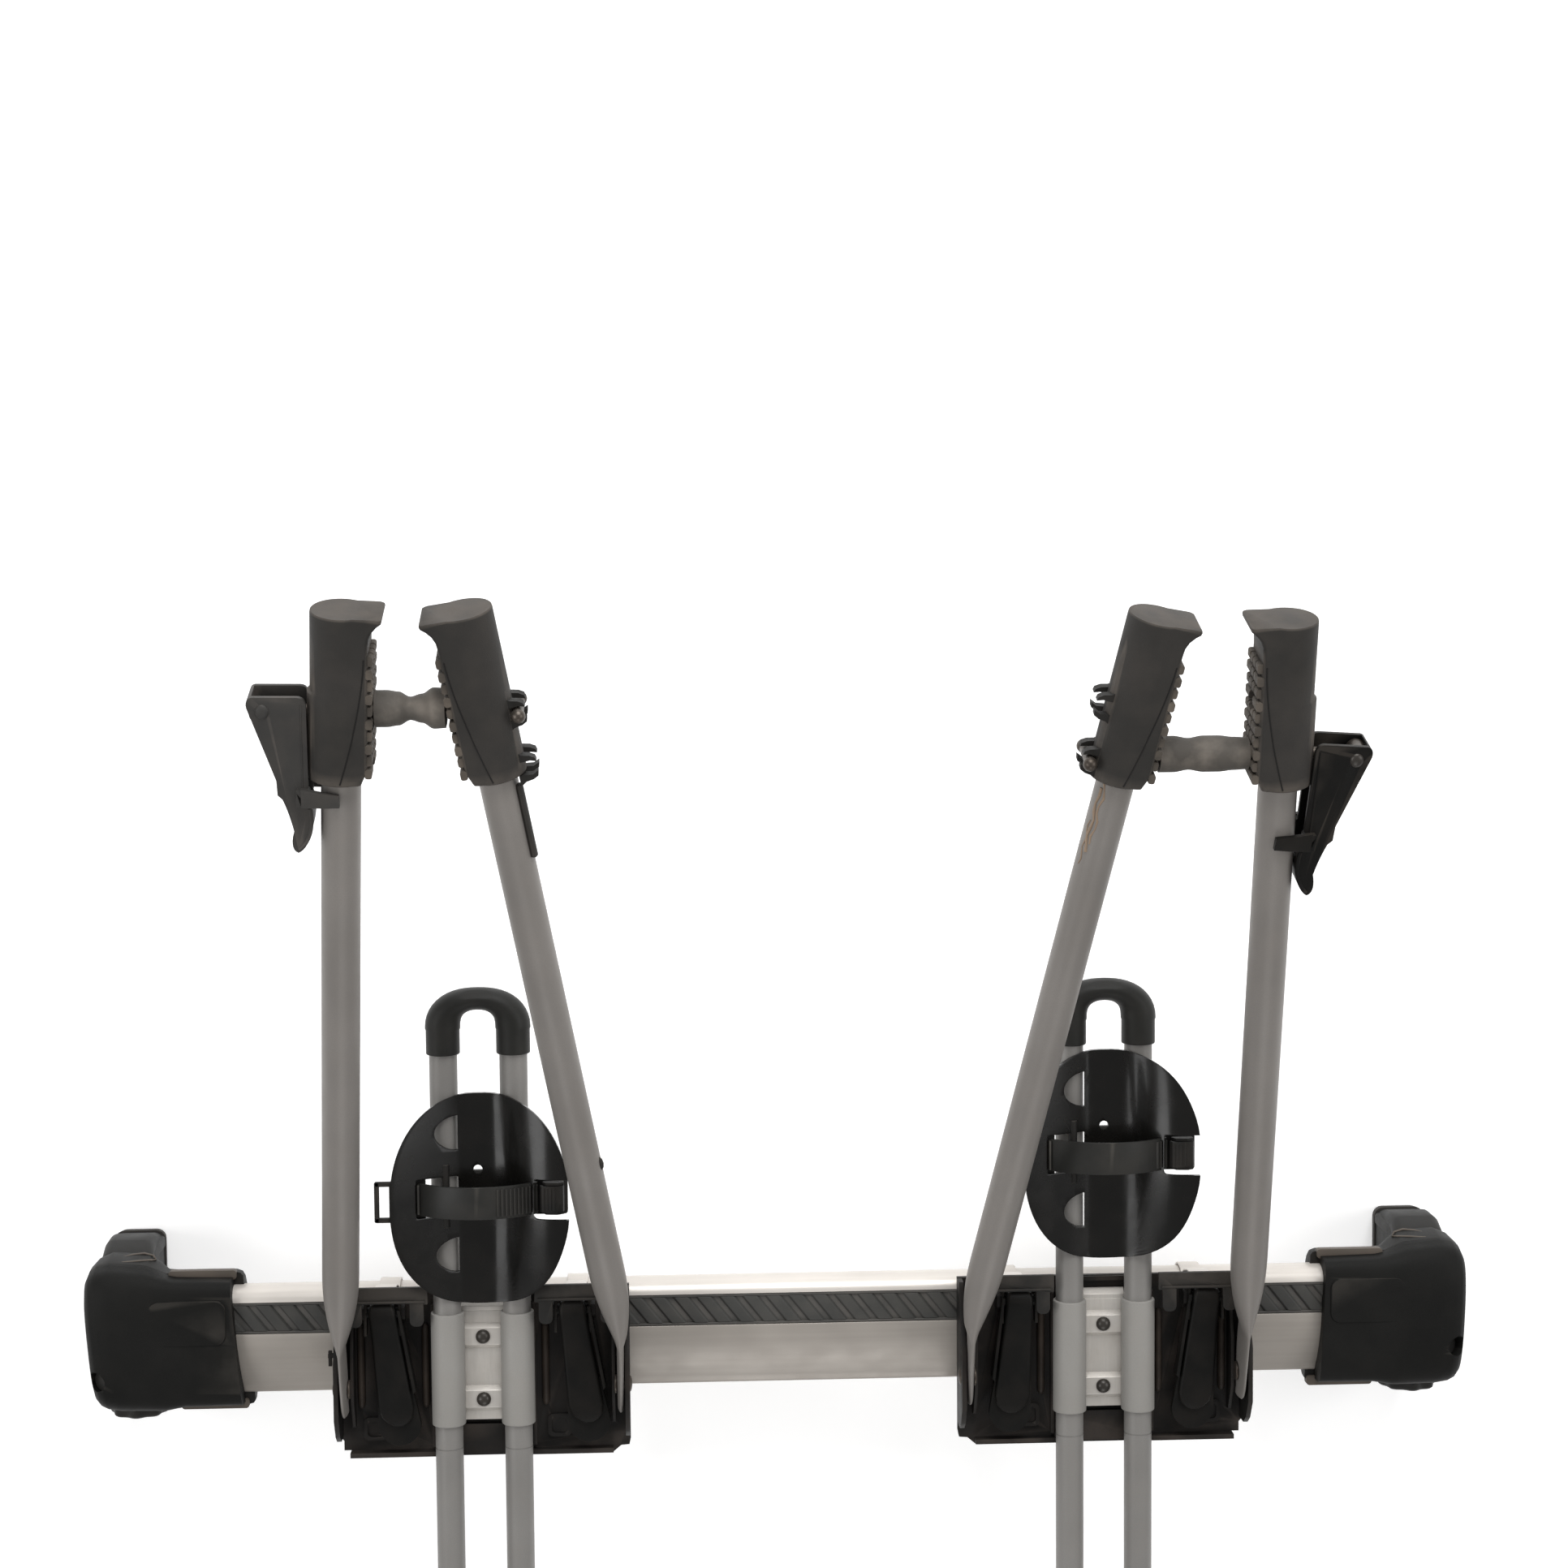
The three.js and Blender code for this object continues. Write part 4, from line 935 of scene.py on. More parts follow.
    def build(self, places: Places) -> None:
        """Builds the cover and foot on the rack and the knob on its own body.

        Args:
            places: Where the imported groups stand.
        """
        frame, tag = places.bar_end(self.end, self.side), f"{self.end.value}_{self.side.word}"
        y = -25 if self.side is Side.LEFT else -19
        lock = Blank().sweep([Vector((-508, y, 128)), Vector((-484, y, 100))], self.lock_radius, 32)
        self.cover().make(f"cover_{tag}", frame, [COVER_PLASTIC], "rack", [f"end_cover_{tag}"], 0.9, cutters=[lock])
        barrel = Blank().sweep([Vector((-493, y, 110.5)), Vector((-486.4, y, 102.8))], self.lock_radius - 0.2, 32)
        barrel.make(f"lock_barrel_{tag}", frame, [CHARCOAL], "rack", bevel=0.3)
        self.leaf().make(f"cover_line_{tag}", frame, [COVER_INLAY], "rack", bevel=0)
        foot = self.foot()
        foot.make(f"leg_{tag}", frame, [CHARCOAL, COVER_INLAY, JAW_RUBBER], "rack", [f"foot_{tag}"], 1.0)
        place = shift(*joint_place(places.joints, f"foot_knob_{tag}_turn")) @ mirror(-self.side.value)
        self.knob().make(f"knob_{tag}", place, [CHARCOAL], f"foot_knob_{tag}", [f"foot_knob_{tag}"], 0.5)


# --------------------------------------------------------------------------- carrier base


@dataclass
class Housing:
    """The moulded base of a carrier: a ribbed tray with side cheeks that clamps on the bar."""

    side: Side
    levers: Pair
    half: float = 105.5
    floor: Pair = (111.0, 115.0)
    cheek_wall: float = 3.3
    pivot: Pair = (-28.0, 136.0)
    pockets: Pair = (-79.0, 54.0)
    pocket_y: float = -63.0
    ribs: Triple = (-88.5, -42.0, 44.5)
    ear_apart: float = 14.4

    def plan(self) -> Outline:
        """The floor's outline, with stepped rear corners."""
        h = self.half
        rear = [(-h, -68), (-h + 3.5, -72), (-h + 3.5, -79), (-h + 10, -79), (-h + 16, -84.5)]
        right = [(h - 13, -84.5), (h - 7, -79.5), (h - 1, -79), (h, -74)]
        return [(-h, 39.5), *rear, *right, (h, 39.5)]

    def body(self) -> Blank:
        """The floor, cheeks, ribs, pockets and lever ears."""
        low, high = self.floor
        blank = Blank().prism(self.plan(), Axis.Z, low, high)
        cheek = [
            (-68, low), (39, low), (39, 127), (35, 129), (22, 130), (0, 143), (-8, 147.5), (-48, 148), (-62, 139),
            (-68, 130),
        ]
        wall = [(-62, low), (34, low), (34, 122), (20, 124), (-4, 133), (-40, 133), (-60, 122)]
        for s in (-1, 1):
            blank.prism(cheek, Axis.X, *sorted((s * self.half, s * (self.half - self.cheek_wall))))
            blank.prism(wall, Axis.X, *sorted((s * 94.8, s * 92.6)))
        for x in (-36.5, 36.5):
            blank.block((2.4, 104, 8), (x, -24, 117))
        ear = [(18, low), (34, low), (34, 128), (30, 134), (22, 134), (18, 128)]
        for x in self.levers:
            for s in (-1, 1):
                blank.prism(ear, Axis.X, x + s * self.ear_apart - 1.6, x + s * self.ear_apart + 1.6)
        for x in self.pockets:
            blank.prism(rounded(17, 17, 4, x, self.pocket_y), Axis.Z, high - 1, high + 2.4)
        blank.block((62, 3.5, 9), (-66, -81, 118)).block((62, 3.5, 9), (62, -81, 118))
        blank.block((70, 22, 5), (0, -71, 117.4), 3)
        blank.block((40, 3.2, 7), (0, 37.4, 114))
        claw = [
            (-44.5, 114.5), (-30.5, 114.5), (-30.5, 110.8), (-40.6, 110.8), (-40.6, 87), (-33.5, 87), (-33.5, 83),
            (-44.5, 83),
        ]
        blank.prism(claw, Axis.X, -75, 75)
        if self.side is Side.LEFT:
            blank.block((7, 3, 3), (-self.half - 3, -8, 118)).block((2.5, 11, 3), (-self.half - 5, -10, 118))
        blank.mark = 1
        for x in self.ribs:
            path = [Vector((x, 14 - t * 62, high + 1.0)) for t in (0, 0.02, 0.06, 0.5, 0.94, 0.98, 1)]
            blank.sweep(path, [0.6, 2.0, 2.8, 2.8, 2.8, 2.0, 0.6], 16, 1.35)
        blank.mark = 2
        for x in self.pockets:
            blank.dome(Axis.Z, 4.2, 2.2, (x, self.pocket_y, high + 0.4))
        for s in (-1, 1):
            blank.rod(Axis.X, 4, 12.3, (s * (self.half - 5), *self.pivot))
            blank.rod(Axis.X, 6.8, 2, (s * (self.half - 10.2), *self.pivot))
            blank.dome(Axis.X, 6.2, s * 2.2, (s * (self.half - 0.4), *self.pivot))
        return blank

    def build(self, places: Places) -> None:
        """Builds the housing on the rack body.

        Args:
            places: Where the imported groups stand.
        """
        word, frame = self.side.word, places.handed(self.side)
        finishes = [HOUSING_PLASTIC, RIB_PLASTIC, BOLT_STEEL]
        pockets = []
        for x in self.pockets:
            pockets.append(Blank().prism(rounded(11.5, 11.5, 3, x, self.pocket_y), Axis.Z, 115.6, 120))
        node = f"base_housing_{word}"
        self.body().make(f"housing_{word}", frame, finishes, "rack", [node], 0.7, cutters=pockets)


@dataclass
class BaseLever:
    """A clamp lever of the base and the hook it draws against the bar."""

    side: Side
    which: str
    x: float
    lean: float
    hook_x: float

    def lever(self) -> Blank:
        """The lever about its hinge, its grip towards -Y."""
        lean = self.lean
        rings = []
        for y, width, low, high in (
            (9, 12, -3, 5), (7, 17, -5, 7.6), (3, 19, -6, 9.2), (-2, 19.4, -6, 9.4), (-8, 19.8, -5, 8.2),
            (-20, 20.6, -4, 7), (-45, 23.2, -4, 6.2), (-69, 25.4, -4, 5.8), (-76, 22, -4, 5.4), (-80, 15, -4, 5),
            (-82, 8, -3.6, 4.4),
        ):
            centre, middle, tall = lean * min(0, y) / -88, (low + high) / 2, high - low
            outline = rounded(width, tall, min(2.6, tall * 0.3))
            rings.append([Vector((centre + px, y, middle + pz)) for px, pz in outline])
        blank = Blank().loft(rings)
        pad = [(lean * 0.62 - 12.2, -50)] + arc(lean, -82, 15.2, 15.2, 180, 360, 20) + [(lean * 0.62 + 12.2, -50)]
        blank.prism(pad, Axis.Z, -4.2, 0.6)
        fin = [(10.5, 3), (12.6, 3), (lean * 0.7 + 15.5, -56), (lean * 0.7 + 13.6, -58)]
        blank.prism(fin, Axis.Z, -5, 6.6)
        for dx in (-12, 12):
            blank.prism([(dx - 1, 8), (dx + 1, 8), (dx + 1 + dx * 0.03, -16), (dx - 1 + dx * 0.03, -16)], Axis.Z, -5, 4)
        return blank.rod(Axis.X, 4.2, 24.5, (0, 0, 0))

    def hook(self) -> Blank:
        """The hook over the bar's front edge: a comb-shaped plate and a face that curls under the nose."""
        plan = []
        for s in (-1, 1):
            r = 4.0
            tab = arc(s * 27 - s * r, 18 + r, r, r, 0 if s > 0 else 180, -90 if s > 0 else 270, 5)
            tab += arc(s * 17 + s * r, 18 + r, r, r, -90 if s > 0 else 270, -180 if s > 0 else 360, 5)
            side = [(s * 30, 46.5), (s * 30, 34), (s * 27, 34), *tab, (s * 17, 34.6)]
            plan = plan + side if s < 0 else plan + side[::-1]
        blank = Blank().prism(plan, Axis.Z, 137.6, 141.5)
        blank.mark = 1
        outer = [(46.3, 139), (46.3, 130), (43.6, 118)] + arc(30.5, 95, 12, 17, 50, -90, 14)
        inner = arc(30.5, 95, 10.3, 15.4, -90, 50, 14) + [(42.2, 119), (44.8, 130), (44.8, 139)]
        blank.prism(outer + inner, Axis.X, -7.5, 7.5)
        blank.mark = 0
        return blank.block((56, 1.6, 1.4), (0, 36.2, 141.9))

    def build(self, places: Places) -> None:
        """Builds the lever and hook on their bodies.

        Args:
            places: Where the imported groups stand.
        """
        tag = f"{self.which}_{self.side.word}"
        pin = joint_place(places.joints, f"base_lever_{tag}_lift")
        axis = shift(middle_of(f"rail_bracket_{self.side.word}").x, pin.y, pin.z) @ mirror(-self.side.value)
        node, place = f"base_lever_{tag}", axis @ shift(self.x, 0, 0)
        self.lever().make(f"cam_lever_{tag}", place, [LEVER_PLASTIC], node, [node], 0.8)
        node, place = f"base_hook_{tag}", places.handed(self.side) @ shift(self.hook_x, 0, 0)
        # The hook's curled face takes the bar's lighter anodised copy, whose brightness is a painted highlight.
        self.hook().make(f"bar_hook_{tag}", place, [CHARCOAL, ANODISED_LIT], node, [node], 0.5)


@dataclass
class RailPair:
    """Two rails, the riveted bracket that holds them and the bow that joins their front ends."""

    side: Side
    spacing: float = 50.0
    height: float = 128.0
    rear: float = -1225.0
    front: float = 236.0

    def rail(self) -> Blank:
        """One rail with a fine joint line behind the bracket and a plug at the rear."""
        r, joint = 10.0, -74.0
        profile = [
            (self.rear, 8.4), (self.rear + 1, 9.6), (self.rear + 2, r), (joint - 0.5, r), (joint - 0.3, r - 0.35),
            (joint + 0.3, r - 0.35), (joint + 0.5, r), (self.front - 0.5, r), (self.front, r - 0.5),
        ]
        return Blank().turned(profile, Axis.Y, (0, 0, 0), 40)

    def bracket(self) -> Blank:
        """Two sleeves and the bright web between them."""
        blank, z = Blank(), self.height
        for s in (-1, 1):
            profile = [(-57, 10.4), (-57, 11.6), (-56.4, 12.1), (24.4, 12.1), (25, 11.6), (25, 10.4), (-57, 10.4)]
            blank.turned(profile[:-1], Axis.Y, (s * self.spacing / 2, 0, z), 48)
        blank.mark = 1
        blank.block((34, 80, 3), (0, -16, z - 7))
        blank.prism([(26, 119), (30, 116), (31, 117.5), (27, 122.5), (24, 122.5), (24, 119.5)], Axis.X, -16, 16)
        for y in (6, -40):
            low, high = z - 5.6, z - 1.8
            band = [(y - 9.5, low), (y - 6.2, high), (y + 6.2, high), (y + 9.5, low)]
            blank.prism(band, Axis.X, -17, 17)
        blank.mark = 2
        for y in (6, -40):
            blank.dome(Axis.Z, 5.3, 4.0, (0, y, z - 1.9))
        return blank

    def bow(self) -> Blank:
        """The bow: two collars, thicker legs and a flattened crown."""
        half, leg = self.spacing / 2, 212.3
        path = [(-half, leg, 11.8), (-half, leg + 1, 12.1), (-half, leg + 17.5, 12.1), (-half, leg + 18.6, 12.6)]
        rings = [(Vector((x, y, 0)), Vector((-1, 0, 0)), r) for x, y, r in path]
        for i in range(25):
            t = math.pi * (1 - i / 24)
            c, s = math.cos(t), math.sin(t)
            x, y = half * math.copysign(abs(c) ** (2 / 2.2), c), 232 + 20.0 * max(s, 0) ** (2 / 2.2)
            normal = Vector((math.copysign(abs(c) ** 1.2, c), max(s, 0) ** 1.2, 0)).normalized()
            rings.append((Vector((x, y, 0)), normal, 12.6 - 4.6 * max(s, 0) ** 2))
        rings += [(Vector((-x, y, 0)), Vector((1, 0, 0)), r) for x, y, r in reversed(path)]
        skin = []
        for centre, normal, inner in rings:
            tall = min(12.4, inner + 4)
            skin.append([
                centre + normal * (inner * math.cos(t)) + Vector((0, 0, self.height + tall * math.sin(t)))
                for t in (math.tau * k / 32 for k in range(32))
            ])
        return Blank().loft(skin)

    def build(self, places: Places) -> None:
        """Builds rails, bracket and bow on the rack body.

        Args:
            places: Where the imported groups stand.
        """
        word, frame = self.side.word, places.carrier(self.side)
        for name, s in (("a", -1), ("b", 1)):
            place = frame @ shift(s * self.spacing / 2, 0, self.height)
            self.rail().make(f"rail_tube_{name}_{word}", place, [RAIL_PAINT], "rack", [f"rail_{name}_{word}"], bevel=0)
        node = f"rail_bracket_{word}"
        self.bracket().make(f"bracket_{word}", frame, [SLEEVE_PAINT, WEB_METAL, DARK_RIVET], "rack", [node], 0.5)
        flat = Blank().prism([(252.5, 141), (264, 141), (264, 129)], Axis.X, -18, 18)
        tip = Blank().block((90, 20, 60), (0, 270.3, self.height))
        node = f"rail_front_cap_{word}"
        self.bow().make(f"bow_{word}", frame, [BOW_PLASTIC], "rack", [node], 0.8, cutters=[flat, tip])


# --------------------------------------------------------------------------- wheel trays


@dataclass
class WheelTray:
    """A dished wheel tray with a notch for the buckle, a strap slot, windows and a loop."""

    end: End
    side: Side
    teeth: int = 0
    half_width: float = 62.0
    half_length: float = 76.0
    wall: float = 4.0
    ahead: float = 3.0

    def edges(self, y: float) -> Pair:
        """Left and right edge of the tray at a place along it.

        Args:
            y: The place along the tray.

        Returns:
            X of the left edge and of the right edge.
        """
        t = min(abs(y + self.ahead) / self.half_length, 0.99999)
        round_off = (1 - t**2.3) ** (1 / 2.1)
        left = -self.half_width * (0.06 + 0.94 * round_off)
        lobe = 1.0 + 0.04 * math.exp(-(((abs(y) - 14) / 22) ** 2))
        right = self.half_width * (0.06 + 0.94 * (1 - t**2.6) ** (1 / 2.2)) * lobe
        return left, right

    @staticmethod
    def height(x: float, y: float) -> float:
        """Height of the upper face above the rails.

        Args:
            x: Place across the tray.
            y: Place along the tray.

        Returns:
            The height.
        """
        t = abs(x)
        fade = 1 - (y / 88) ** 2
        if x < 0:
            return -3 + (21 + 4 * fade) * max(0, t - 12) / 50
        valley = -3 + 8 * min(1, max(0, (t - 8) / 17)) ** 1.5
        wing = (0.36 + 0.1 * fade) * max(0, t - 25)
        return valley + wing + (2 + 4.4 * fade) * math.sin(math.pi * min(1, max(0, t - 22) / 42))

    def shell(self) -> Blank:
        """The dished shell."""
        rings = []
        steps = [math.sin(math.pi / 2 * k / 20) for k in range(-20, 21)]
        for s in steps:
            y = s * self.half_length - self.ahead
            left, right = self.edges(y)
            xs = [left + (right - left) * i / 30 for i in range(31)]
            top = [Vector((x, y, self.height(x, y))) for x in xs]
            under = [Vector((x, y, self.height(x, y) - self.wall)) for x in reversed(xs)]
            rings.append(top + under)
        return Blank().loft(rings)

    def cutters(self) -> list[Blank]:
        """The notch, the strap slot, the two windows and the keyhole."""
        notch = Blank().prism(rounded(60, 29, 3.5, 69, 0), Axis.Z, -20, 50)
        slot = Blank().prism(rounded(29, 28, 1.5, -29.5, 0), Axis.Z, -20, 50)
        windows = []
        for y in (45, -43):
            bulge = curve([(-17, y + 12.5), (-36, y + 9), (-36, y - 9), (-17, y - 12.5)], 12)
            windows.append(Blank().prism([(-15, y - 12.5), (-15, y + 12.5)] + bulge, Axis.Z, -20, 50))
        return [notch, slot, *windows, Blank().turned([(-20, 3.2), (30, 3.2)], Axis.Z, (-1, 18, 0))]

    def strap(self) -> Blank:
        """The strap's arch over the tyre, with ratchet teeth near the buckle."""
        half, crown, thick = 42.0, 30.0, 2.5
        rise = crown - 12
        radius = (half * half + rise * rise) / (2 * rise)
        sweep = math.degrees(math.asin(half / radius))
        outer = arc(0, crown - radius, radius, radius, 90 + sweep, 90 - sweep, 40)
        inner = arc(0, crown - radius, radius - thick, radius - thick, 90 - sweep, 90 + sweep, 40)
        blank = Blank().prism(outer + inner, Axis.Y, -11.5, 11.5)
        for i in range(self.teeth):
            t = math.radians(90 - sweep + 1.6 + i * 3.05)
            out, side = Vector((math.cos(t), 0, math.sin(t))), Vector((math.sin(t), 0, -math.cos(t)))
            base = Vector((0, 0, crown - radius)) + out * (radius - 0.2)
            rings = []
            for y in (-9.6, 9.6):
                foot = base + Vector((0, y, 0))
                tip = out * 1.5
                rings.append([foot - side * 1.1, foot + side * 1.1, foot + side * 0.7 + tip, foot - side * 0.5 + tip])
            blank.loft(rings)
        return blank.block((1.6, 21, 9), (-42.4, 0, 10))

    def loop(self) -> Blank:
        """The thin loop outside the left wing and the boss under the strap's slot."""
        blank = Blank().block((3.4, 29, 3.4), (-71.2, 0, 18.4), 1.2)
        for y in (-12.9, 12.9):
            blank.block((13, 3.4, 3.4), (-66, y, 18.4), 1.2)
        return blank.block((3, 28, 4), (-60.8, 0, 18.6), 0.8)

    def buckle(self) -> Blank:
        """The ratchet buckle about its pin: a ribbed thumb plate between two ears."""
        plate = [(3.5, -3), (3.8, 3)] + curve([(3.0, 5.5), (-3, 9), (-12, 7)], 8)
        plate += [(-13.5, 3), (-12, 0.5), (-4, 2), (-3, -3)]
        blank = Blank().prism(plate, Axis.Y, -9.2, 9.2)
        for y in (-10.4, 10.4):
            blank.prism([(3.2, -3.4), (3.6, 3), (-1, 6.4), (-9, 5.2), (-12, 0), (-10, -3.4)], Axis.Y, y - 1, y + 1)
        for i in range(4):
            blank.rod(Axis.Y, 0.7, 16, (-3.2 - i * 2.4, 0, 7.6 - i * 0.12), 10)
        return blank.rod(Axis.Y, 2.2, 23, (0, 0, 0))

    def build(self, places: Places) -> None:
        """Builds the tray, and on the front one its strap and buckle.

        Args:
            places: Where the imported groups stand.
        """
        tag = f"{self.end.value}_{self.side.word}"
        node, body = f"wheel_tray_{tag}", f"{self.end.value}_tray_{self.side.word}"
        low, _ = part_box(node)
        middle = middle_of(f"rail_bracket_{self.side.word}").x
        spot = shift(middle, middle_of(node).y + self.ahead, low.z / MM + 7)
        self.shell().make(f"tray_{tag}", spot, [TRAY_GLOSS], body, [node], 0.9, 3, 40, self.cutters())
        self.loop().make(f"tray_loop_{tag}", spot, [CHARCOAL], body, bevel=0.4)
        nut = Blank().block((20, 30, 5), (0, 2, -6.2), 3).rod(Axis.Y, 3, 46, (-24, 0, 1.2))
        nut.block((20, 33, 6), (-48, 0, 3.6), 2).block((24, 26, 6), (51, 0, 4.4), 2)
        nut.make(f"tray_clamp_{tag}", spot, [CHARCOAL], body, bevel=0.6)
        if self.end is End.FRONT:
            self.strap().make(f"strap_{tag}", spot, [STRAP_PLASTIC], body, [f"wheel_strap_{tag}"], 0.35)
            pin = joint_place(places.joints, f"front_buckle_open_{self.side.word}")
            node, body = f"strap_buckle_{tag}", f"front_buckle_{self.side.word}"
            hinge = shift(pin.x, pin.y + self.ahead, pin.z)
            self.buckle().make(f"buckle_{tag}", hinge, [CHARCOAL], body, [node], 0.4)


@dataclass
class RearClamp:
    """The block that holds the rails on the rear bar and its lobed knob."""

    side: Side

    def block(self) -> Blank:
        """The moulded block with eased ends and two ridges on top, with its stud and nut."""
        outline = rounded(79, 30.5, 8, 0, 16.25, 8)
        blank = Blank().loft([
            [Vector((x * s, y, 16.25 + (z - 16.25) * s)) for x, z in outline]
            for y, s in ((-22, 0.95), (-21, 0.99), (-18, 1), (18, 1), (21, 0.99), (22, 0.95))
        ])
        for x in (-12, 12):
            blank.block((2, 36, 3), (x, 0, 31.4), 0.8)
        blank.mark = 1
        return blank.rod(Axis.Z, 4, 54, (0, 0, 18)).block((20, 20, 5), (0, 0, -13.4))

    def knob(self) -> Blank:
        """The five-lobed knob above the block."""
        rings = []
        for z, share in ((3.6, 0.9), (5, 0.98), (7, 1), (14, 1), (16.4, 0.96), (17.6, 0.86), (18, 0.7)):
            rings.append([
                Vector((r * share * math.cos(t), r * share * math.sin(t), z))
                for t, r in ((a, 20 + 3 * math.cos(5 * a)) for a in (math.tau * k / 80 for k in range(80)))
            ])
        blank = Blank().loft(rings).rod(Axis.Z, 11, 5, (0, 0, 2.6))
        return blank.turned([(17, 9.5), (18.6, 8.6), (18.8, 6)], Axis.Z, (0, 0, 0))

    def build(self, places: Places) -> None:
        """Builds the block on the rack and the knob on its body.

        Args:
            places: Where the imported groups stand.
        """
        word = self.side.word
        pin = joint_place(places.joints, f"rear_knob_turn_{word}")
        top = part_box("crossbar_rear")[1].z / MM
        node, place = f"rear_saddle_{word}", shift(pin.x, pin.y, top)
        self.block().make(f"clamp_block_{word}", place, [CHARCOAL, BOLT_STEEL], "rack", [node], 0.8)
        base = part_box(f"rear_knob_{word}")[0].z / MM
        bore = Blank().turned([(-5, 4.4), (30, 4.4)], Axis.Z, (0, 0, 0))
        node, place = f"rear_knob_{word}", shift(pin.x, pin.y, base)
        self.knob().make(f"clamp_knob_{word}", place, [CHARCOAL], node, [node], 0.5, cutters=[bore])


# --------------------------------------------------------------------------- frame holder


@dataclass
class Holder:
    """Two folding arms with rubber jaws, closed by a bolt and a clamp lever.

    Pairs give the outer arm's value and then the inner arm's. The lever's pose is its turn in degrees
    and its shift from the pin in X and Y.
    """

    side: Side
    leans: Pair
    level: float
    sleeve: tuple[float, ...]
    lever_pose: Triple
    jaw_shifts: Pair
    pivot: float = 99.0
    bend: float = 45.0
    reach: float = 565.0
    radius: float = 13.0
    jaw_start: float = 476.0
    jaw_length: float = 115.0
    jaw_radius: float = 20.0
    jaw_face: float = 19.5
    levels: Pair = (528.0, 490.0)
    lever_scale: Pair = (0.92, 1.02)

    def axis(self, lean: float, along: float) -> float:
        """Distance of an arm's middle line from the carrier's middle."""
        return self.pivot - max(0.0, along - self.bend) * math.tan(math.radians(lean))

    def arm(self, lean: float) -> Blank:
        """A flattened blade that opens into a round tube, the gap towards +X.

        Args:
            lean: How far the arm leans in, in degrees.

        Returns:
            The arm.
        """
        rings = []
        blade = ((-19, 0.35), (-18.4, 0.5), (-17, 0.66), (-14.5, 0.8), (-12, 0.9), (-8, 0.97), (-4, 1.0))
        stations = [(a, 2.5, 17 * s) for a, s in blade]
        for i in range(24):
            a = 8 + (104 - 8) * i / 23
            ease = 1 - (1 - min(1, max(0, (a - 37) / 63))) ** 2.2
            stations.append((a, 2.5 + (self.radius - 2.5) * ease, 17 + (self.radius - 17) * ease))
        stations += [(along, self.radius, self.radius) for along in (200, 400, self.reach)]
        slope = math.tan(math.radians(lean))
        for along, x, z in stations:
            centre = max(0, along - self.bend) * slope
            rings.append([
                Vector((centre + x * math.cos(t), along, z * math.sin(t))) for t in (math.tau * k / 40 for k in range(40))
            ])
        return Blank().loft(rings)

    def jaw(self, outer: bool, lean: float, start_at: float) -> Blank:
        """A jaw about its tube, the toothed face towards +X and the lower end at y = 0.

        Args:
            outer: Whether it is the outer arm's jaw, which has no claws.
            lean: How far the arm leans in, in degrees.
            start_at: Where the jaw starts along the arm.

        Returns:
            The jaw.
        """
        half, r = 18.0, self.jaw_radius
        start = math.degrees(math.asin(half / r))

        def section(face: float, y: float, back: float = 0.0, shrink: float = 0.0) -> list[Vector]:
            """One D-shaped section."""
            ring = arc(face - 3 - shrink, half - 3 - shrink, 3, 3, 0, 90, 5)
            round_back = arc(0, 0, r - shrink, r - shrink, start, 360 - start, 30)
            ring += [(px * (1 + back / r) if px < 0 else px, pz) for px, pz in round_back]
            ring += arc(face - 3 - shrink, -half + 3 + shrink, 3, 3, 270, 360, 5)
            return [Vector((px, y, pz)) for px, pz in ring]

        face, top = self.jaw_face, self.jaw_length
        low = 1.8 if outer else 0.0
        stations = [(face - 6, 0, low, 1.2), (face - 5, 0.8, low, 0.2), (face - 4, 4, low, 0), (face - 1.6, 10, low, 0)]
        stations += [(face - 1.6, 60, low, 0), (face - 1.6, 61.5, 0, 0)] if outer else [(face - 1.6, 60, 0, 0)]
        stations += [(face - 1.6, top - 20, 0, 0), (face - 1.2, top - 14, 0, 0), (face + 0.6, top - 9.5, 0, 0)]
        stations += [(face + 3.8, top - 5.5, 0, 0), (face + 6.6, top - 3.2, 0, 0), (face + 7, top - 1.6, 0, 0)]
        stations += [(face + 6.9, top - 0.4, 0, 0.2), (face + 6.4, top, 0, 0.6)]
        blank = Blank().loft([section(*s) for s in stations])
        blank.mark = 1
        for row in range(10):
            y = 9 + row * 8.6
            for z in (-12.5, -4.2, 4.2, 12.5) if row % 2 else (-14.6, -8.3, 0, 8.3, 14.6):
                wide = 5.4 if abs(z) > 14 else 6.8
                blank.block((4.6, 6.4, wide), (face - 0.6, y, z), 1.6)
        if not outer:
            blank.mark = 2
            drop = 25 * math.sin(math.radians(lean))
            for level in self.levels:
                y = (level - start_at) / math.cos(math.radians(lean)) - drop
                for z in (-7, 7):
                    for s in (-1, 1):
                        hook = [
                            (-15, y + s * 4.6), (-19.5, y + s * 4.6), (-24, y + s * 5.0), (-28, y + s * 3.4 + 0.5),
                            (-27.4, y + s * 6.4), (-24, y + s * 8.4), (-19, y + s * 9.4), (-15, y + s * 12.4),
                        ]
                        blank.prism(hook, Axis.Z, z - 3, z + 3)
        return blank

    def seam(self) -> Blank:
        """The moulding line that curves from the lip to the lower end."""
        path = []
        for i in range(25):
            t = i / 24
            x, y = 15.5 - 14.5 * t**1.6, 88 - 86 * t
            z = math.sqrt(self.jaw_radius**2 - x * x) if x < 8.7 else 18.0
            path.append(Vector((x, y, z - 0.1)))
        return Blank().sweep(path, 0.5, 6)

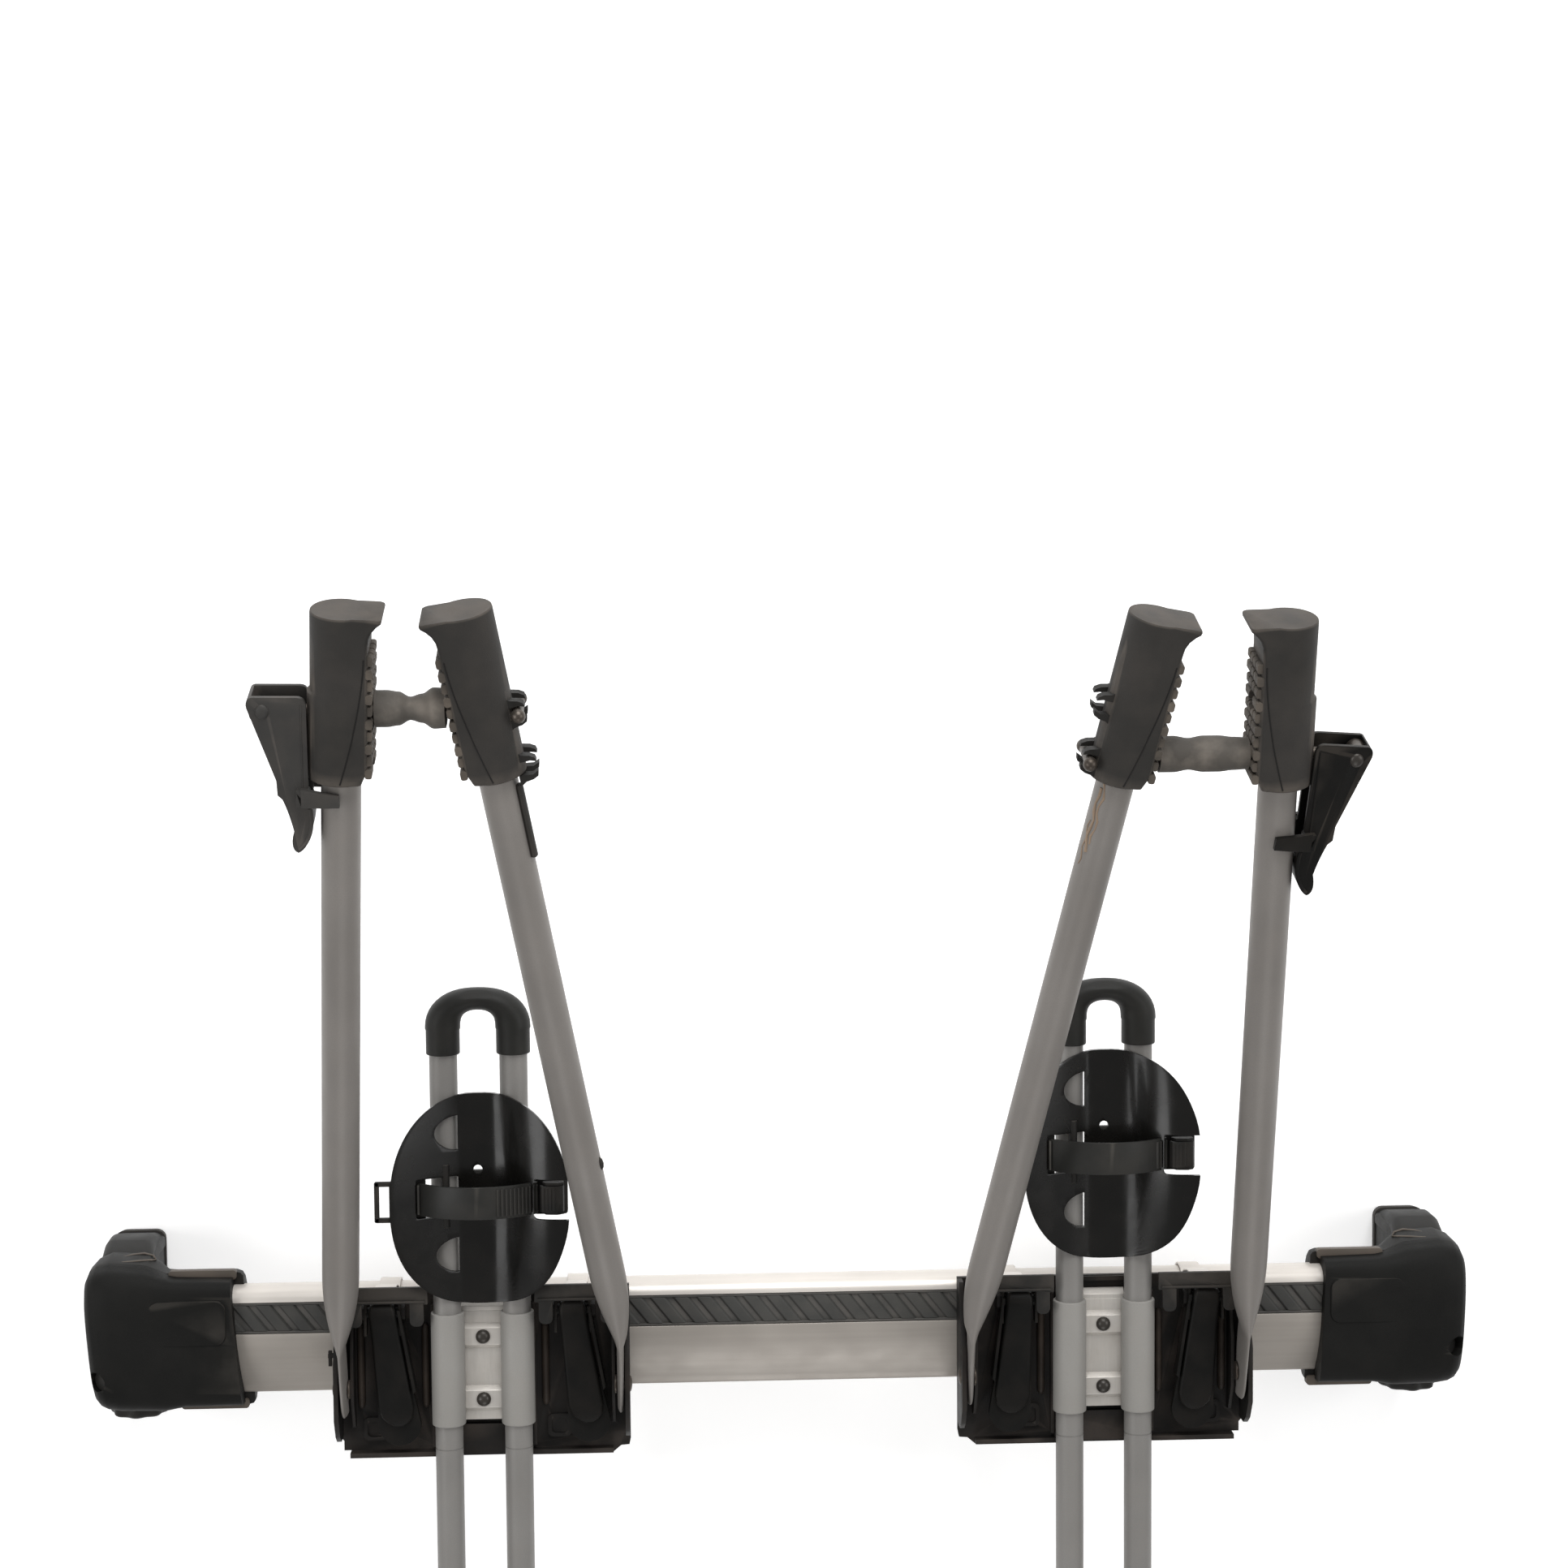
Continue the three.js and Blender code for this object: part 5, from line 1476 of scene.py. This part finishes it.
    def lever(self) -> Blank:
        """The clamp lever about its pin: a channel with a curled finger grip and a catch over the tube."""
        top = curve([(-11, 4), (-11, 9), (-7, 9.4)], 5) + curve([(24, 10), (29, 10), (30.2, 5)], 5)
        grip = curve([(30.6, -60), (35.5, -72), (33, -88), (27.5, -95), (22.5, -97)], 12)
        grip += curve([(22.5, -97), (17.4, -95.5), (17.8, -88), (19.8, -82)], 8)[1:]
        spine = curve([(19.8, -82), (17, -70), (12.4, -60)], 6)[1:] + [(9, -57), (8.4, -47)]
        outline = top + grip + spine + [(-10.6, 2)]
        blank = Blank().prism(outline, Axis.Z, -12, 12)
        for z in (-17, 17):
            hook = [(26, -50), (40, -52.5), (52, -54), (52.6, -62), (41, -62.5), (26, -62.5)]
            blank.prism(hook, Axis.Z, z - 1.9, z + 1.9)
            blank.block((9, 11, 9), (27, -57, z * 0.76), 1)
        blank.sweep([Vector((x, y, 12.1)) for x, y in ((26.8, 5), (26.6, -20), (26.6, -54))], 0.55, 6)
        rim = [Vector((x, y, 11.2)) for x, y in curve([(31, -66), (34, -78), (30, -90), (23, -95)], 10)]
        blank.sweep(rim, 1.6, 8)
        blank.mark = 1
        blank.prism([(-7, 4), (28, 6.6), (28, -20), (-2, -10)], Axis.Z, 3.6, 5.4)
        blank.mark = 2
        blank.dome(Axis.Z, 5.0, 2.6, (0, 0, 11.6)).dome(Axis.Z, 5.0, -2.6, (0, 0, -11.6))
        return blank.rod(Axis.Z, 3, 26, (0, 0, 0))

    def bolt(self, length: float) -> Blank:
        """The bolt about the lever's pin: an eye, a shank and a ball-ended cross-piece.

        Args:
            length: From the pin to the cross-piece.

        Returns:
            The bolt.
        """
        blank, ball = Blank().rod(Axis.X, 4, length, (length / 2, 0, 0)), 4.8
        blank.rod(Axis.Z, 6.5, 16, (0, 0, 0)).rod(Axis.Z, 3.4, 30, (length, 0, 0))
        for s in (-1, 1):
            steps = [math.pi * (k / 12 - 0.5) for k in range(13)]
            profile = [(ball * math.sin(t), max(ball * math.cos(t), 0.2)) for t in steps]
            blank.turned(profile, Axis.Z, (length, 0, s * 15), 24)
        return blank

    def rubber_sleeve(self, length: float) -> Blank:
        """The waisted rubber sleeve on the bolt.

        Args:
            length: From one jaw to the other.

        Returns:
            The sleeve.
        """
        count, profile = len(self.sleeve) - 1, [(0.0, self.sleeve[0] - 2.5)]
        for i in range(41):
            place = 0.6 + (length - 1.2) * i / 40
            k = min(int(i / 40 * count), count - 1)
            t = i / 40 * count - k
            ease = t * t * (3 - 2 * t)
            profile.append((place, self.sleeve[k] * (1 - ease) + self.sleeve[k + 1] * ease))
        return Blank().turned([*profile, (length, self.sleeve[-1] - 2.5)], Axis.X, (0, 0, 0), 40)

    def build(self, places: Places) -> None:
        """Builds the arms, jaws, bolt, sleeve and lever on their bodies.

        Args:
            places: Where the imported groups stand.
        """
        holder = places.holder(self.side)
        self.arms(holder)
        self.clamp(holder)

    def arms(self, holder: Matrix) -> None:
        """Builds both arms with their jaws.

        Args:
            holder: The folded holder's frame.
        """
        word = self.side.word
        for which, s, lean, moved in (
            ("outer", -1, self.leans[0], self.jaw_shifts[0]), ("inner", 1, self.leans[1], self.jaw_shifts[1]),
        ):
            start_at = self.jaw_start + moved
            body, tag = f"{which}_arm_{word}", f"{which}_{word}"
            frame = holder @ shift(s * self.pivot, 0, 0) @ mirror(-s)
            self.arm(lean).make(f"tube_{tag}", frame, [ARM_PAINT], body, [f"arm_{tag}"], bevel=0)
            turn = Matrix.Rotation(s * math.radians(lean), 4, "Z")
            head = holder @ shift(s * self.axis(lean, start_at), start_at, 0) @ turn @ mirror(-s)
            bores = [
                Blank().turned([(4, 6.2), (60, 6.2)], Axis.X, (0, (v - start_at) / math.cos(math.radians(lean)), 0))
                for v in self.levels
            ]
            finishes, jaw = [JAW_RUBBER, TOOTH_RUBBER, CLAW_RUBBER], self.jaw(s < 0, lean, start_at)
            jaw.make(f"grip_{tag}", head, finishes, body, [f"jaw_{tag}"], 0.8, 2, 40, bores)
            self.seam().make(f"grip_seam_{tag}", head, [SEAM_RUBBER], body, bevel=0)
            if s > 0:
                self.extras(frame, body)

    def clamp(self, holder: Matrix) -> None:
        """Builds the bolt, the lever and the sleeve between the jaws.

        Args:
            holder: The folded holder's frame.
        """
        word = self.side.word
        pin_x = -self.axis(self.leans[0], self.level) - self.jaw_radius - 31.5
        cross_x = self.axis(self.leans[1], self.level) + self.jaw_radius + 3.4
        pin = holder @ shift(pin_x, self.level, 0)
        self.bolt(cross_x - pin_x).make(f"bolt_{word}", pin, [BOLT_STEEL], f"bolt_{word}", [f"clamp_bolt_{word}"], 0)
        opening = [(-7.5, 30), (-7.5, -4), (12, -40), (12, -64), (60, -64), (60, 30)]
        channel = Blank().prism(opening, Axis.Z, -8.8, 8.8)
        finishes = [LEVER_PLASTIC, BRIGHT_PLATE, DARK_RIVET]
        if self.side is Side.LEFT:
            finishes = [LEVER_LIGHT, BRIGHT_PLATE, LEVER_LIGHT]
        turn, x, y = self.lever_pose
        tilt = pin @ shift(x, y, 0) @ Matrix.Rotation(math.radians(turn), 4, "Z")
        tilt = tilt @ Matrix.Diagonal((*self.lever_scale, 1, 1))
        node = f"clamp_lever_{word}"
        self.lever().make(f"lever_{word}", tilt, finishes, f"lever_{word}", [node], 0.8, 3, 35, [channel])
        widest = max(self.sleeve)
        start, stop = (
            s * self.axis(lean, self.level) - s * (self.jaw_face / math.cos(a) + widest * math.tan(a) + 0.8)
            for s, lean, a in ((s, lean, math.radians(lean)) for s, lean in zip((-1, 1), self.leans))
        )
        node, place = f"bolt_sleeve_{word}", holder @ shift(start, self.level, 0)
        rubber = self.rubber_sleeve(stop - start)
        rubber.make(f"sleeve_{word}", place, [SLEEVE_RUBBER], f"outer_arm_{word}", [node], 0)

    def extras(self, frame: Matrix, body: str) -> None:
        """Builds what sits on the inner arm below its jaw: a rubber strip or, on the right, old adhesive.

        Args:
            frame: The inner arm's frame.
            body: The body it rides on.
        """
        lean = math.tan(math.radians(self.leans[1]))

        def back(along: float, out: float, z: float) -> Vector:
            """A point on the side of the tube that faces away from the gap."""
            return Vector(((along - self.bend) * lean - out, along, z))

        if self.side is Side.LEFT:
            path = [back(a, 13.4, 5) for a in (424, 425, 450, 474, 476)]
            strip = Blank().sweep(path, [1.6, 2.6, 2.6, 2.6, 2.2], 10, 1.3)
            strip.make("arm_strip_left", frame, [CHARCOAL], body, bevel=0)
            path = [back(a, 12.6, 3) for a in (182, 184, 187, 190, 192)]
            nub = Blank().sweep(path, [0.5, 1.7, 2.2, 1.7, 0.5], 12)
            nub.make("arm_nub_left", frame, [CHARCOAL], body, bevel=0)
            return
        marks = Blank()
        for dz, low, high, wide in ((7.6, 424, 470, 1.3), (9.8, 430, 474, 0.9), (5.8, 414, 446, 0.7)):
            path = []
            for i in range(9):
                a, z = low + (high - low) * i / 8, dz + 0.9 * math.sin(i * 1.7 + dz)
                path.append(back(a, math.sqrt(self.radius**2 - z * z) - 0.1, z))
            radii = [wide * (0.5 + 0.5 * abs(math.sin(i * 1.3 + dz))) for i in range(9)]
            marks.sweep(path, radii, 8)
        marks.make("arm_adhesive_right", frame, [GLUE_MARK], body, bevel=0)


# --------------------------------------------------------------------------- studio


@dataclass
class Studio:
    """The camera, the pale floor and the soft lights."""

    focus: Pair = (65.22, 36.0)
    eye: Triple = (-90.1, 551.1, 2147.3)
    turn: Triple = (-4.2, -2.646, -0.668)
    floor_half: float = 9.0
    floor_tone: float = 0.93
    floor_glow: float = 0.3
    sky: float = 0.38
    lamps: tuple[tuple[str, Triple, Triple, float, float], ...] = (
        ("front_light", (0.3, 3.2, 1.9), (0, 0.2, 0.1), 2.2, 94),
        ("left_light", (-2.8, 0.4, 2.4), (0, 0.2, 0.1), 1.8, 45),
        ("right_light", (2.9, 0.9, 2.4), (0, 0.2, 0.1), 1.8, 38),
        ("rear_light", (0.2, -3.0, 2.2), (0, -0.2, 0.1), 2.0, 30),
    )

    def camera(self, bar_y: float) -> None:
        """Makes the camera above the rack, looking down.

        Args:
            bar_y: Where the front bar's middle is.
        """
        data = bpy.data.cameras.new("camera")
        data.lens, data.sensor_width = self.focus
        data.dof.use_dof = False
        data.clip_start, data.clip_end = 0.05, 100
        camera = bpy.data.objects.new("camera", data)
        bpy.context.scene.collection.objects.link(camera)
        pitch, yaw, roll = (math.radians(v) for v in self.turn)
        turn = Matrix.Rotation(pitch, 4, "X") @ Matrix.Rotation(yaw, 4, "Y") @ Matrix.Rotation(roll, 4, "Z")
        x, y, z = self.eye
        camera.matrix_world = Matrix.Translation(Vector((x, y + bar_y, z)) * MM) @ turn
        bpy.context.scene.camera = camera

    def lamp(self, name: str, place: Sequence[float], aim: Sequence[float], size: float, power: float) -> None:
        """Adds one square soft light that faces a point.

        Args:
            name: The light's name.
            place: Where it stands, in metres.
            aim: The point that it faces.
            size: Its width, in metres.
            power: Its power, in watts.
        """
        data = bpy.data.lights.new(name, "AREA")
        data.shape, data.size, data.energy = "SQUARE", size, power
        lamp = bpy.data.objects.new(name, data)
        bpy.context.scene.collection.objects.link(lamp)
        lamp.location = place
        lamp.rotation_euler = (Vector(aim) - Vector(place)).to_track_quat("-Z", "Y").to_euler()

    def build(self) -> None:
        """Builds the floor, the sky and the lights."""
        mesh = bpy.data.meshes.new("floor")
        half = self.floor_half
        mesh.from_pydata([(-half, -half, 0), (half, -half, 0), (half, half, 0), (-half, half, 0)], [], [(0, 1, 2, 3)])
        floor = bpy.data.objects.new("floor", mesh)
        bpy.context.scene.collection.objects.link(floor)
        paper = bpy.data.materials.new("pale_floor")
        paper.use_nodes = True
        shader = paper.node_tree.nodes["Principled BSDF"]
        shader.inputs["Base Color"].default_value = (self.floor_tone, self.floor_tone, self.floor_tone, 1)
        shader.inputs["Roughness"].default_value = 0.9
        shader.inputs["Specular IOR Level"].default_value = 0.1
        shader.inputs["Emission Color"].default_value = (1, 1, 1, 1)
        shader.inputs["Emission Strength"].default_value = self.floor_glow
        mesh.materials.append(paper)
        world = bpy.data.worlds.new("studio")
        world.use_nodes = True
        sky = world.node_tree.nodes["Background"]
        sky.inputs["Color"].default_value = (1, 0.995, 0.99, 1)
        sky.inputs["Strength"].default_value = self.sky
        bpy.context.scene.world = world
        bpy.context.scene.view_settings.view_transform = "Standard"
        for lamp in self.lamps:
            self.lamp(*lamp)


def main() -> None:
    """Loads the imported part, builds every sub-assembly around it and sets the scene."""
    logging.basicConfig(level=logging.INFO, format="%(name)s: %(message)s")
    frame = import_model()
    studio = Studio()
    studio.camera(middle_of("crossbar_front").y)
    places = Places({joint["name"]: joint for joint in frame["record"]["behaviour"]["joints"]})
    for end in End:
        Crossbar(end).build()
        TrackStrip(end).build()
        for side in Side:
            BarEnd(end, side, rake=8.0 if side is Side.LEFT else 4.5).build(places)
    levers = {Side.LEFT: ((-71.0, 11.0), (65.0, 11.0)), Side.RIGHT: ((-73.5, 9.0), (62.5, 6.5))}
    holders = {
        Side.LEFT: Holder(
            Side.LEFT, leans=(3.2, 9.5), level=528, sleeve=(12, 12, 11, 7.6, 9.5, 13.4, 13),
            lever_pose=(-2.0, 2.6, 3.5), jaw_shifts=(5.3, 5.8),
        ),
        Side.RIGHT: Holder(
            Side.RIGHT, leans=(1.4, 10.6), level=490, sleeve=(10.5, 11, 12, 12, 10.5, 12, 12),
            lever_pose=(2.5, 3.0, -1.0), jaw_shifts=(-6.5, -2.0),
        ),
    }
    for side in Side:
        (outer_x, outer_lean), (inner_x, inner_lean) = levers[side]
        Housing(side, (outer_x, inner_x)).build(places)
        BaseLever(side, "outer", outer_x, outer_lean, -68).build(places)
        BaseLever(side, "inner", inner_x, inner_lean, 68).build(places)
        RailPair(side).build(places)
        WheelTray(End.FRONT, side, teeth=11 if side is Side.LEFT else 4).build(places)
        WheelTray(End.REAR, side).build(places)
        RearClamp(side).build(places)
        holders[side].build(places)
    studio.build()


if __name__ == "__main__":
    main()
